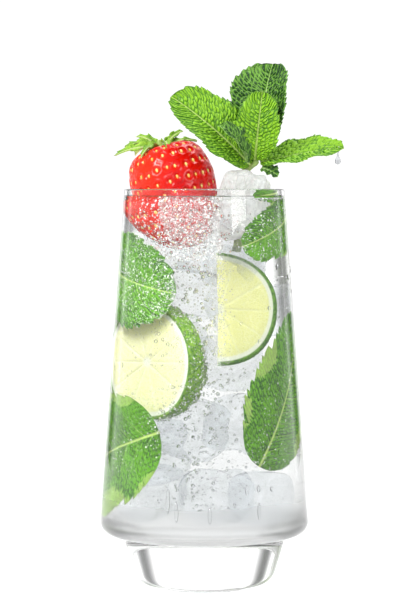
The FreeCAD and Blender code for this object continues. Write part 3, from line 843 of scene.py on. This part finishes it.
def ice_finish(name, bend, cloudy, rough, milk_below, low, high, speckled, relief=0.9 * MM,
               white=1.0, ends_at=1.0):
    """Clear ice mixed with milk by noise, where milk_below is the share of milk left under the
    level; the milk stops at the height ends_at, with an uneven edge."""
    finish = Finish(name)
    place = finish.place()
    cloud = finish.noise(place, 95.0, 5.0, 0.6, 0.8)
    cracks = finish.cells(place, 170.0, "DISTANCE_TO_EDGE")
    frost = finish.noise(place, 2200.0, 3.0, 0.7)
    normal = finish.bump(cloud * 0.7 + frost * 0.12 + cracks.between(0.0, 0.05) * 0.2, relief, 0.6)
    clear = finish.shader("Glass", Color=(0.98, 0.99, 1.0), IOR=bend, Roughness=frost * rough,
                          Normal=normal)
    grey, pale, lit = (tuple(white * part for part in colour)
                       for colour in ((0.84, 0.86, 0.86), (0.98, 0.99, 0.99), (0.97, 0.98, 0.98)))
    milk = finish.principled(Base_Color=finish.tint(cloud, grey, pale), Roughness=0.3, Normal=normal)
    glow = finish.shader("Translucent", Color=lit, Normal=normal)
    body = finish.mixed(0.6, milk, glow)
    height = finish.axis(place, 2)
    share = height.between(DRINK_TOP - 4 * MM, DRINK_TOP + 2 * MM) * (1 - milk_below) + milk_below
    share = share * (height + cloud * 9 * MM).between(ends_at, ends_at - 5 * MM)
    milkiness = (cloud * (1 - speckled) + frost * speckled).between(low, high) * share * cloudy
    return finish.done(finish.mixed(milkiness, finish.lit_through(clear), body))


ice_above = ice_finish("melting_ice", bend=1.2, cloudy=0.95, rough=0.04, milk_below=0.7, low=0.26,
                       high=0.56, speckled=0.12, relief=2.6 * MM)
ice_front = ice_finish("front_ice", bend=0.994, cloudy=0.85, rough=0.03, milk_below=0.80, low=0.38,
                       high=0.82, speckled=0.80, ends_at=GLASS_TOP + 3.5 * MM)
ice_sunk = ice_finish("sunk_ice", bend=0.996, cloudy=0.34, rough=0.30, milk_below=1.0, low=0.30, high=0.80,
                      speckled=0.2, white=0.66)
CUBES = {
    "ice_cube_main": dict(sides=(20.2, 16.2, 25.7), turns=(-4.0, 7.0, -4.0), seed=21,
                          power=4.6, melt=0.10, finish=ice_above),
    "ice_cube_back": dict(sides=(9.2, 10.2, 19.2), turns=(-28.0, -5.0, 4.0), seed=22,
                          power=3.6, melt=0.04, finish=ice_above),
    "ice_cube_front": dict(sides=(17.2, 7.2, 24.2), turns=(-15.0, -3.0, -2.0), seed=23,
                           power=3.4, melt=0.13, finish=ice_front),
}
for node, cube in CUBES.items():
    low, high = (np.array(corner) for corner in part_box(node))
    lump = ice_lump(node + "_lump", (low + high) / 2, np.array(cube["sides"]) * MM, cube["turns"],
                    cube["seed"], cube["power"], cube["melt"])
    settle(lump, cube["finish"], "ice", node)

# %% [markdown]
# More ice is sunk in the drink. It bends light almost as the drink does, so only its milky
# parts and faint edges show, which is what gives the drink its soft grey and white patches.

# %% Sunk ice
SUNK_ICE = [
    ((6.0, 14.0, 128.0), (20, 18, 20), (20, 8, 5)), ((-12.0, 14.0, 132.0), (19, 17, 20), (50, -8, 10)),
    ((10.0, -8.0, 122.0), (19, 16, 15), (-15, 10, 4)), ((-6.0, -6.0, 112.0), (21, 20, 19), (35, 12, -9)),
    ((14.0, 12.0, 104.0), (23, 20, 20), (10, -12, 6)), ((-12.0, 14.0, 92.0), (22, 22, 20), (-30, 6, 14)),
    ((8.0, -6.0, 86.0), (22, 18, 20), (25, -6, 8)), ((-4.0, -14.0, 62.0), (21, 18, 21), (-20, 10, -6)),
    ((15.0, 8.0, 62.0), (24, 22, 21), (40, 8, 8)), ((-16.0, 12.0, 50.0), (24, 20, 22), (12, -8, -10)),
    ((4.0, -16.0, 36.0), (25, 19, 19), (8, 6, 4)), ((19.0, -12.0, 35.0), (21, 18, 20), (-35, 4, 6)),
    ((-17.0, -9.0, 37.0), (20, 19, 18), (30, -6, -4)),
]
for n, (centre, sides, turns) in enumerate(SUNK_ICE):
    lump = ice_lump(f"sunk_ice_{n + 1}", np.array(centre) * MM, np.array(sides) * MM, turns, seed=60 + n,
                    power=4.0, melt=0.08, rows=40, columns=60)
    settle(lump, ice_sunk, "ice")

# %% [markdown]
# ## Lime slices
# A lime slice is a short cylinder with a bumpy green peel, a thin white ring of pith, and wedges
# of juicy flesh between pale walls. The slice's outline runs from the middle of one face, round
# the peel, to the middle of the other, and is turned by the angle; the wedges swell a little
# between their walls. Each point remembers how far out it is and where it lies in its wedge.


# %% Lime shape
def lime_slice(name, centre, facing, radius, thick, wedges, seed, start=0.0, sweep=360.0, columns=220):
    """A slice: rows run over the faces and peel, columns round it; a part sweep gets flat cut ends.

    The cut ends have the flesh's marks, and the columns next to them lie a hair away, so that the
    colour of the peel stays off the cut."""
    rng = np.random.default_rng(seed)
    whole = sweep >= 360.0
    face_run = np.concatenate([np.linspace(0.02, 0.9, 26), np.linspace(0.915, 0.975, 5)])
    bulge = np.radians(np.linspace(-78, 78, 13))
    peel_r = 0.985 + 0.015 * np.cos(bulge)
    peel_z = -np.sin(bulge) / np.sin(np.radians(78)) * 0.5
    out = np.concatenate([face_run, peel_r, face_run[::-1]])[:, None]
    depth = np.concatenate([np.full(len(face_run), 0.5), peel_z, np.full(len(face_run), -0.5)])[:, None]
    side = np.concatenate([np.ones(len(face_run)), np.zeros(len(peel_r)), -np.ones(len(face_run))])[:, None]
    turn = np.radians(start) + np.linspace(0, np.radians(sweep), columns, endpoint=not whole)[None, :]
    cut_edge = np.zeros(columns, bool)
    if not whole:
        turn[0, 1], turn[0, -2] = turn[0, 0] + 1e-4, turn[0, -1] - 1e-4
        cut_edge[[0, -1]] = True
    wedge = (turn / (2 * np.pi) * wedges + 0.12 * np.sin(turn * 2 + rng.uniform(0, 6))) % 1.0
    wall = np.minimum(wedge, 1 - wedge) * 2 * np.pi * np.clip(out, 0.02, 1) * radius / wedges
    flesh = (out < 0.87) * np.clip((0.87 - out) * 14, 0, 1) * np.clip((out - 0.07) * 12, 0, 1)
    swell = flesh * np.clip(wall / (0.9 * MM), 0, 1) ** 0.5
    reach = out * radius * (1 + 0.012 * np.sin(2 * turn + rng.uniform(0, 6)) + 0.006 * np.sin(5 * turn))
    pore_waves = np.sin(turn * 61 + 3 * np.sin(depth * 17)) * np.sin(depth * 23 + turn * 9)
    pores = 0.10 * MM * (side == 0) * pore_waves
    height = depth * thick + side * (0.45 * MM * swell - 0.25 * MM)
    x, y = (reach + pores) * np.cos(turn), (reach + pores) * np.sin(turn)
    local = np.stack([x, y, height + 0 * x], -1)
    up = unit(np.array(facing, float))
    right = unit(np.cross([0.0, 0.0, 1.0], up))
    top = np.cross(up, right)
    points = np.asarray(centre) + local[..., :1] * right + local[..., 1:2] * top + local[..., 2:] * up
    rows = len(out)
    ends = np.asarray(centre) + up * np.array([[0.5], [-0.5]]) * (thick - 0.5 * MM)
    sets = [grid_faces(rows, columns, whole), end_fans(rows, columns, whole)]
    if not whole:
        count = rows * columns
        first_edge = np.concatenate([[count], np.arange(rows) * columns, [count + 1]])
        last_edge = np.concatenate([[count], np.arange(rows) * columns + columns - 1, [count + 1]])
        sets += [first_edge[None], last_edge[None, ::-1]]
    marks = {"out": out + 0 * turn, "wall": wall / MM + 0 * out, "turn": turn + 0 * out,
             "peel": (side == 0) * np.clip(1.3 - np.abs(depth), 0, 1) + 0 * turn}
    marks["out"] = np.where(cut_edge, 0.5, marks["out"])
    marks["peel"] = np.where(cut_edge, 0.0, marks["peel"])
    marks = {label: np.append(values.ravel(), [values[0].mean(), values[-1].mean()])
             for label, values in marks.items()}
    return make_piece(name, np.vstack([points.reshape(-1, 3), ends]), sets, marks)


def lime_finish(name, flesh_deep, flesh_light, peel_deep, peel_light, walls, glow):
    """Flesh by wedge wall and juice sacs, then pith, then peel, by how far out the point is."""
    finish = Finish(name)
    place = finish.place()
    out, wall, peel = finish.mark("out"), finish.mark("wall"), finish.mark("peel")
    turn = finish.mark("turn")
    sacs = finish.cells(finish.vector(turn * 9.0, out * 5.0), 3.4, "DISTANCE_TO_EDGE")
    cloud = finish.noise(place, 120.0, 4.0, 0.6)
    pores = finish.cells(place, 900.0, "F1")
    juicy = finish.tint((sacs.between(0.0, 0.25) * 0.6 + cloud * 0.5).between(0.1, 0.9),
                        flesh_light, flesh_deep)
    flesh = finish.tint(wall.between(0.75, 0.15) * 0.75 * walls, juicy, (0.95, 0.97, 0.80))
    flesh = finish.tint(out.between(0.12, 0.05), flesh, (0.95, 0.96, 0.82))
    pith = finish.tint(out.between(0.845, 0.885), flesh, (0.97, 0.98, 0.88))
    skin = finish.tint((cloud * 0.6 + pores * 0.6).between(0.25, 0.85), peel_deep, peel_light)
    edge = finish.tint(out.between(0.925, 0.955), pith, skin)
    colour = finish.tint(peel.between(0.1, 0.4), edge, skin)
    sac_height = sacs.between(0.0, 0.2) * (1 - peel.between(0.1, 0.4))
    relief = finish.bump(sac_height * 0.7 + pores * 0.5, 0.30 * MM, 0.6)
    body = finish.principled(Base_Color=colour, Roughness=0.3 + cloud * 0.15, Normal=relief,
                             Specular_IOR_Level=0.15)
    through = finish.shader("Translucent", Color=colour, Normal=relief)
    return finish.done(finish.mixed(glow, body, through))


lime_fresh = lime_finish("lime_slice_flesh", (0.87, 0.87, 0.36), (0.98, 0.98, 0.62),
                         (0.03, 0.13, 0.004), (0.15, 0.36, 0.02), walls=0.35, glow=0.55)
# The wheel faces away from the key lamp, so its flesh and peel are painted paler and brighter than the half
# slice's: painted light.
lime_painted_light = lime_finish("lime_wheel_flesh", (0.92, 0.92, 0.44), (1.0, 0.99, 0.74),
                        (0.04, 0.18, 0.004), (0.24, 0.46, 0.03), walls=0.25, glow=0.3)
print("lime finishes:", lime_fresh.name, lime_painted_light.name)

# %% [markdown]
# One whole wheel stands against the wall on the left, turned away so that its peel shows on
# its near edge. A half wheel with its straight cut upright stands on the right.

# %% The slices
def facing(degrees, lean=0.0):
    """A direction from the axis outwards: 0 is towards the guest, positive to the guest's right."""
    a = np.radians(degrees)
    return np.array([np.sin(a), -np.cos(a), np.sin(np.radians(lean))])


wheel_way = facing(-50.0)
WHEEL_RADIUS, WHEEL_THICK, WHEEL_OUT, WHEEL_HEIGHT = 22.0 * MM, 6.8 * MM, 25.3 * MM, 87.1 * MM
wheel_centre = wheel_way * (WHEEL_OUT - WHEEL_THICK / 2) + np.array([0, 0, WHEEL_HEIGHT])
lime_wheel = lime_slice("lime_wheel", wheel_centre, wheel_way, WHEEL_RADIUS, WHEEL_THICK, 10, 31)
settle(lime_wheel, lime_painted_light, "drink_clear")

half_way = unit(facing(4.0, 12.0))
half_centre = np.array([4.6, -17.0, 107.0]) * MM
lime_half = lime_slice("lime_half_wheel", half_centre, half_way, 21.2 * MM, 4.8 * MM, 10, 32,
                       start=-91.0, sweep=182.0, columns=130)
settle(lime_half, lime_fresh, "drink_clear")

# %% [markdown]
# ## Mint in the drink
# The sunk leaves lie flat against the inside of the wall. Their shape is the same leaf, but it
# is laid on the bore: across the leaf and along it are distances round the wall and up it.


# %% Leaves on the wall
UNROLLED_RADIUS = 33.0e-3


def round_axis(radius, turn, height):
    """Places by distance from the axis, turn in radians (0 in front, positive to the right), height."""
    return np.stack([radius * np.sin(turn), -radius * np.cos(turn), height], -1)


def on_wall(points, base, tip, inset, highest):
    """Lays a leaf's own frame on the bore: base and tip are (distance round, height) in
    millimetres, and the turn is the distance round over the radius it is unrolled at."""
    base, tip = np.array(base) * MM, np.array(tip) * MM
    along = unit(tip - base)
    across = np.array([along[1], -along[0]])
    flat = base + points[..., :1] * along + points[..., 1:2] * across
    height = np.clip(flat[..., 1], FLOOR_TOP + 4 * MM, highest)
    wall = bore_at(height)
    radius = wall - inset + np.minimum(points[..., 2], inset * 0.9)
    return round_axis(radius, flat[..., 0] / UNROLLED_RADIUS, height)


WALL_GRID = (140, 61)
WALL_LEAVES = {
    "sunk_mint_upper_left": dict(base=(-76, 125), tip=(-11.5, 113.5), half=18.0, teeth=16, seed=51,
                                 inset=2.0),
    "sunk_mint_lower_left": dict(base=(-16.5, 62), tip=(-76, 40), half=24.0, teeth=16, seed=52, inset=1.6),
    "sunk_mint_right": dict(base=(20.0, 49), tip=(54, 103), half=20.0, teeth=18, seed=53, inset=1.6),
    "sunk_mint_upper_right": dict(base=(72, 148), tip=(16.5, 131), half=11.5, teeth=14, seed=54, inset=1.8),
    "mint_at_rim": dict(base=(47, 151.2), tip=(23, 149.6), half=3.0, teeth=11, seed=55, inset=1.4,
                        highest=152.0, grid=WALL_GRID),
    "sunk_mint_rear": dict(base=(-99, 66), tip=(-94, 106), half=7.5, teeth=14, seed=56, inset=1.6,
                           grid=WALL_GRID),
    "sunk_mint_rear_left": dict(base=(-80, 78), tip=(-72, 114), half=11.5, teeth=15, seed=57, inset=1.6,
                                grid=WALL_GRID),
}
leaf_tops = []
for name, leaf in WALL_LEAVES.items():
    length = np.linalg.norm(np.subtract(leaf["tip"], leaf["base"])) * MM
    top, under, marks = leaf_surface(length, leaf["half"] * MM, leaf["teeth"], leaf["seed"], fold=5.0,
                                     bow=0.4 * MM, puff=0.45 * MM, grid=leaf.get("grid", FINE_GRID))
    highest = leaf.get("highest", (DRINK_TOP - 0.5 * MM) / MM) * MM
    top, under = (on_wall(sheet, leaf["base"], leaf["tip"], leaf["inset"] * MM, highest)
                  for sheet in (top, under))
    points, faces, marks = closed_blade(top, under, marks)
    settle(make_piece(name, points, faces, marks), mint_sunk, "mint_leaf_green")
    leaf_tops.append(top.reshape(-1, 3))
print("leaves on the wall:", len(WALL_LEAVES))

# %% [markdown]
# ## Bubbles
# Fizz sits on the leaves, the peel and the wall as small balls of gas. Light bends the other way
# when it passes from liquid to gas, so the finish is glass whose index is one over the drink's.
# The finest fizz is partly mixed with a white finish, a painted highlight that stands in for the glints of
# its tiny bubbles.

# %% Bubble finishes
bubble_finish = Finish("gas_bubble")
bubble_grain = bubble_finish.noise(bubble_finish.place(), 300.0, 1.0)
gas = bubble_finish.done(bubble_finish.lit_through(bubble_finish.shader(
    "Glass", Color=bubble_finish.tint(bubble_grain, (0.97, 0.98, 0.98), (1.0, 1.0, 1.0)), IOR=0.75,
    Roughness=bubble_grain * 0.01)))

fizz_finish = Finish("fine_fizz")
fizz_grain = fizz_finish.noise(fizz_finish.place(), 900.0, 2.0)
fizz_clear = fizz_finish.lit_through(fizz_finish.shader(
    "Glass", Color=fizz_finish.tint(fizz_grain, (0.97, 0.98, 0.98), (1.0, 1.0, 1.0)), IOR=0.78))
# Painted highlight: a white finish mixed into the fizz in patches, for the glints of its bubbles.
fizz_painted_highlight = fizz_finish.principled(Base_Color=(0.97, 0.98, 0.97), Roughness=0.3)
fizz = fizz_finish.done(fizz_finish.mixed(fizz_grain.between(0.35, 0.65) * 0.75, fizz_clear, fizz_painted_highlight))
print("bubble finishes:", gas.name, fizz.name)

# %% [markdown]
# Bubbles are drawn at random where fizz gathers: on the leaves, on the cut of the half slice, on
# the wheel's peel, along the wall and in front of the berry. Each piece joins one kind of them.


# %% Bubble places
BUBBLE_SIDES, BUBBLE_RINGS = 6, 4


def bubble_piece(name, spots, sizes, material=gas):
    """Round bubbles of the given radii at the given places, kept inside the bore and the level."""
    height = np.clip(spots[:, 2], FLOOR_TOP + 1.5 * MM, DRINK_TOP - sizes - 0.2 * MM)
    around = np.hypot(spots[:, 0], spots[:, 1])
    limit = bore_at(height) - sizes - 0.15 * MM
    spots = np.column_stack([spots[:, :2] * np.minimum(1, limit / around)[:, None], height])
    frames = np.eye(3)[None] * sizes[:, None, None]
    return settle(copies(name, spots, frames, BUBBLE_SIDES, BUBBLE_RINGS), material, "drink_clear")


def bubble_sizes(count, low, high):
    """Many small bubbles and a few large ones: low (high/low)^(x^2.5) for x spread evenly over 0 to 1."""
    return low * (high / low) ** (RANDOM.uniform(0, 1, count) ** 2.5) * MM


ON_MINT, ON_UPPER_LEAF, ON_CUT, ON_PEEL, PEEL_DRAWS = 3600, 4800, 1300, 520, 900
UP = np.array([0.0, 0.0, 1.0])
leaf_points = np.concatenate(leaf_tops)
mint_spots = leaf_points[RANDOM.integers(0, len(leaf_points), ON_MINT)] * np.array([1.016, 1.016, 1.0])
bubble_piece("bubbles_on_mint", mint_spots, bubble_sizes(ON_MINT, 0.14, 0.42), fizz)
upper_spots = leaf_tops[0][RANDOM.integers(0, len(leaf_tops[0]), ON_UPPER_LEAF)]
upper_spots = upper_spots * np.array([1.02, 1.02, 1.0])
bubble_piece("fizz_on_upper_leaf", upper_spots, bubble_sizes(ON_UPPER_LEAF, 0.10, 0.28), fizz)
cut_turn, cut_height = RANDOM.normal(9.5, 4.0, ON_CUT), RANDOM.uniform(86, 132, ON_CUT) * MM
cut_radius = bore_at(cut_height) - RANDOM.uniform(0.3, 2.5, ON_CUT) * MM
bubble_piece("fizz_on_cut", round_axis(cut_radius, np.radians(cut_turn), cut_height),
             bubble_sizes(ON_CUT, 0.10, 0.26), fizz)

peel_turn = RANDOM.uniform(-np.pi / 2, np.pi / 2, PEEL_DRAWS)[:, None]
wheel_right = unit(np.cross(UP, wheel_way))
peel_way = np.cos(peel_turn) * wheel_right + np.sin(peel_turn) * UP
peel_spots = (wheel_centre + (WHEEL_RADIUS + 0.3 * MM) * peel_way
              + RANDOM.uniform(-3.4, 3.4, PEEL_DRAWS)[:, None] * MM * wheel_way)
bubble_piece("bubbles_on_peel", peel_spots[:ON_PEEL], bubble_sizes(ON_PEEL, 0.12, 0.36), fizz)

IN_FRONT, ALL_ROUND = 1900, 900
wall_turn = np.concatenate([RANDOM.normal(-6, 17, IN_FRONT), RANDOM.uniform(-180, 180, ALL_ROUND)])
wall_height = np.concatenate([RANDOM.uniform(30, 146, IN_FRONT), RANDOM.uniform(26, 147, ALL_ROUND)]) * MM
clear_of_lime = ~((wall_turn > 8) & (wall_turn < 60) & (wall_height > 86 * MM) & (wall_height < 129 * MM))
wall_turn, wall_height = wall_turn[clear_of_lime], wall_height[clear_of_lime]
wall_radius = bore_at(wall_height) - RANDOM.uniform(0.4, 5.0, len(wall_turn)) * MM
bubble_piece("bubbles_free", round_axis(wall_radius, np.radians(wall_turn), wall_height),
             bubble_sizes(len(wall_turn), 0.16, 0.75))

LEFT_OF_BERRY, BEFORE_BERRY = 500, 2600
berry_turn = np.concatenate([RANDOM.uniform(-62, -30, LEFT_OF_BERRY),
                             RANDOM.uniform(-36, 12, BEFORE_BERRY)])
berry_height = np.concatenate([RANDOM.uniform(124, 148.5, LEFT_OF_BERRY),
                               RANDOM.uniform(126, 149, BEFORE_BERRY)]) * MM
berry_radius = bore_at(berry_height) - RANDOM.uniform(0.2, 2.0, len(berry_turn)) * MM
bubble_piece("bubbles_by_berry", round_axis(berry_radius, np.radians(berry_turn), berry_height),
             bubble_sizes(len(berry_turn), 0.12, 0.40), fizz)

# %% [markdown]
# Water also beads on the outside of the glass. Beads are flattened balls on the wall, and a few
# have run down into streaks, so they are the same ball stretched upright. A streak is its turn in
# degrees, its height and its half length in millimetres.

# %% Water outside
def outside_at(z):
    """The outer wall's radius at a height: straight from the body's corner to the rim."""
    return BODY_RADIUS + (z - LEDGE) / (GLASS_TOP - LEDGE) * (RIM_RADIUS - BODY_RADIUS)


BEADS = 60
STREAKS = ((-20.0, 37.0, 4.6), (-15.0, 33.0, 3.6), (3.0, 32.0, 3.0),
           (31.0, 33.0, 3.2), (-74.0, 86.0, 2.6), (24.0, 41.0, 2.0))
bead_turn = np.radians(np.concatenate([RANDOM.uniform(-180, 180, BEADS),
                                       [streak[0] for streak in STREAKS]]))
bead_height = np.concatenate([RANDOM.uniform(26, 145, BEADS), [streak[1] for streak in STREAKS]]) * MM
bead_wide = np.concatenate([RANDOM.uniform(0.3, 0.8, BEADS), np.full(len(STREAKS), 0.75)]) * MM
bead_tall = np.concatenate([bead_wide[:BEADS] * RANDOM.uniform(1.0, 1.8, BEADS),
                            [streak[2] * MM for streak in STREAKS]])
bead_out = round_axis(1.0, bead_turn, 0 * bead_turn)
bead_sizes = np.column_stack([bead_wide, bead_tall, bead_wide * 0.5])
beads = copies("outer_water_beads", round_axis(outside_at(bead_height) + 0.05 * MM, bead_turn, bead_height),
               frames_on(bead_out, np.tile(UP, (len(bead_out), 1)), bead_sizes), 14, 10)

bead_finish = Finish("outer_water")
bead_grain = bead_finish.noise(bead_finish.place(), 400.0, 2.0)
bead_water = bead_finish.done(bead_finish.lit_through(bead_finish.principled(
    Base_Color=bead_finish.tint(bead_grain, (0.95, 0.96, 0.96), (1.0, 1.0, 1.0)),
    Roughness=bead_grain * 0.02, IOR=1.333, Transmission_Weight=1.0)))
settle(beads, bead_water, "drink_clear")

# %% [markdown]
# A last drop hangs from the tip of the right leaf. It is a short neck and a round bulb: one
# profile turned about an upright line.

# %% Hanging drop
drop_top = np.array([50.6, -11.0, 168.3]) * MM
DROP_OUTLINE = ((0.0, 0.6), (0.75, 0.0), (0.40, -1.6), (0.42, -3.2), (0.95, -4.3), (1.15, -5.2),
                (0.80, -6.1), (0.0, -6.5))
drop_profile = smooth_line(np.array(DROP_OUTLINE) * MM, 40)
drop_profile[:, 0] = np.maximum(drop_profile[:, 0], 0)
hanging = turned("hanging_drop", drop_profile, 28)
hanging.data.transform(Matrix.Translation(drop_top))
water_finish = Finish("water_drop")
drop_shade_noise = water_finish.noise(water_finish.place(), 900.0, 2.0)
# The drop's colour is dark grey in patches: painted shade for the dark rim that its bent light would show.
water = water_finish.done(water_finish.principled(
    Base_Color=water_finish.tint(drop_shade_noise, (0.28, 0.30, 0.33), (0.90, 0.91, 0.92)),
    Roughness=drop_shade_noise * 0.02, IOR=1.333, Transmission_Weight=1.0))
settle(hanging, water, "drink_clear")

# %% [markdown]
# ## Studio
# A clear drink is lit against a bright ground so that its edges turn grey. The floor sweeps up
# into the backdrop in one sheet, so there is no line between them, and it glows a little. The
# world is an even white.

# %% Floor and backdrop
def sweep_floor(width, depth, height, bend):
    """Points and faces of a sheet that runs back along the floor, round a bend, and up behind."""
    flat = np.linspace(-depth, depth - bend, 20)
    arc = np.linspace(0, np.pi / 2, 24)[1:]
    run = np.concatenate([flat, flat[-1] + bend * np.sin(arc), [depth] * 10])
    rise = np.concatenate([np.zeros(20), bend * (1 - np.cos(arc)), np.linspace(bend, height, 11)[1:]])
    across = np.linspace(-width, width, 12)
    points = np.stack([np.broadcast_to(across, (len(run), 12)), np.broadcast_to(run[:, None], (len(run), 12)),
                       np.broadcast_to(rise[:, None], (len(run), 12))], -1)
    return points.reshape(-1, 3), grid_faces(len(run), 12, False)


def stage_sheet(name, points, faces, material, marks=None):
    """An open sheet of the studio, which isn't a part of the drink."""
    mesh = bpy.data.meshes.new(name)
    mesh.from_pydata(points.tolist(), [], faces.tolist())
    mesh.polygons.foreach_set("use_smooth", np.ones(len(mesh.polygons), bool))
    for label, values in (marks or {}).items():
        mesh.attributes.new(label, "FLOAT", "POINT").data.foreach_set("value", values.astype(np.float32))
    mesh.materials.append(material)
    sheet = bpy.data.objects.new(name, mesh)
    bpy.context.scene.collection.objects.link(sheet)
    return sheet


floor_finish = Finish("studio_white")
floor_cloud = floor_finish.noise(floor_finish.place(), 3.0, 2.0)
floor_white = floor_finish.done(floor_finish.principled(
    Base_Color=floor_finish.tint(floor_cloud, (0.44, 0.44, 0.44), (0.47, 0.47, 0.47)), Roughness=0.75,
    Specular_IOR_Level=0.2, Emission_Color=(1.0, 1.0, 1.0), Emission_Strength=0.68))
stage_sheet("studio_sweep", *sweep_floor(width=3.0, depth=3.0, height=2.5, bend=1.0), floor_white)

world = bpy.data.worlds.new("studio_world")
bpy.context.scene.world = world
world.use_nodes = True
backdrop = world.node_tree.nodes["Background"]
backdrop.inputs["Color"].default_value = (1.0, 1.0, 1.0, 1.0)
backdrop.inputs["Strength"].default_value = 0.65


# %% [markdown]
# Three soft lamps shape the leaves and the berry: a key from the upper left, one from above and
# behind, and a weak fill from the right. Two small lamps put sharp glints on the berry. Sizes and
# places are in metres, as the lamps stand far from the drink.


# %% Lamps
def lamp(name, spot, aim_height, side, power):
    """A soft square lamp at a place, turned to face a height on the axis."""
    light = bpy.data.lights.new(name, "AREA")
    light.shape, light.size, light.size_y, light.energy = "RECTANGLE", side, side, power
    holder = bpy.data.objects.new(name, light)
    holder.location = spot
    aim = Vector((0, 0, aim_height)) - Vector(spot)
    holder.rotation_euler = aim.to_track_quat("-Z", "Y").to_euler()
    bpy.context.scene.collection.objects.link(holder)
    print(name, "at", spot)


lamp("key_lamp", (-0.60, -0.70, 0.75), 0.12, side=0.30, power=8.5)
lamp("top_lamp", (0.35, 0.3, 1.0), 0.1, side=0.6, power=7.0)
lamp("fill_lamp", (0.75, -0.65, 0.45), 0.1, side=0.4, power=3.0)
lamp("glint_left", (-0.42, -0.62, 0.62), 0.14, side=0.05, power=0.7)
lamp("glint_front", (-0.16, -0.75, 0.50), 0.14, side=0.05, power=0.7)

# %% [markdown]
# Two grey cards stand behind the glass to its left and right. Only bent and mirrored light meets
# them, so they draw the soft grey edges that clear glass needs on white.

# %% Cards
CARDS = {"card_left": -39.0, "card_right": 39.0}
CARD_DISTANCE, CARD_WIDE, CARD_LOW, CARD_TALL = 0.6, 0.36, 0.003, 0.5
card_finish = Finish("grey_card")
card_cloud = card_finish.noise(card_finish.place(), 8.0, 2.0)
card_dark = card_finish.mark("middle")
card_grey = card_finish.done(card_finish.principled(
    Base_Color=card_finish.tint((card_dark * 0.95 + card_cloud * 0.08).between(0.05, 0.95),
                                (0.95, 0.95, 0.95), (0.06, 0.06, 0.06)), Roughness=0.8,
    Emission_Color=card_finish.tint(card_dark.between(0.0, 0.7), (0.45, 0.45, 0.45), (0.0, 0.0, 0.0)),
    Emission_Strength=1.0))
CARD_STEPS = 21
card_run = np.linspace(-1, 1, CARD_STEPS)
for name, angle in CARDS.items():
    away = np.array([np.sin(np.radians(angle)), np.cos(np.radians(angle))])
    along = np.array([away[1], -away[0]]) * CARD_WIDE / 2
    flat = away * CARD_DISTANCE + along * card_run[:, None]
    points = np.concatenate([np.column_stack([flat, np.full(CARD_STEPS, z)])
                             for z in (CARD_LOW, CARD_TALL)])
    card = stage_sheet(name, points, grid_faces(2, CARD_STEPS, False), card_grey,
                       {"middle": np.tile(1 - np.abs(card_run), 2)})
    card.visible_camera = card.visible_diffuse = card.visible_shadow = False
print("cards:", CARDS, "degrees from straight behind")

# %% [markdown]
# ## Camera
# The camera stands in front, level with the rim, and looks down a little. It is far enough off
# that the upright sides stay nearly parallel. Colours are shown as they are, without the filmic
# curve, so that the ground stays white.

# %% Camera
CAMERA_SPOT, LOOK_DOWN, LENS = (1.04 * MM, -865 * MM, 152.6 * MM), 2.75, 136.36
view = bpy.data.cameras.new("front_camera")
view.sensor_width, view.lens = 36.0, LENS
view.clip_start, view.clip_end = 0.05, 20.0
front = bpy.data.objects.new("front_camera", view)
front.location = CAMERA_SPOT
front.rotation_euler = Euler((np.radians(90 - LOOK_DOWN), 0, 0))
bpy.context.scene.collection.objects.link(front)
bpy.context.scene.camera = front
bpy.context.scene.view_settings.view_transform = "Standard"
bpy.context.scene.view_settings.look = "None"
print("camera at", front.location[:], "looking", LOOK_DOWN, "degrees down")
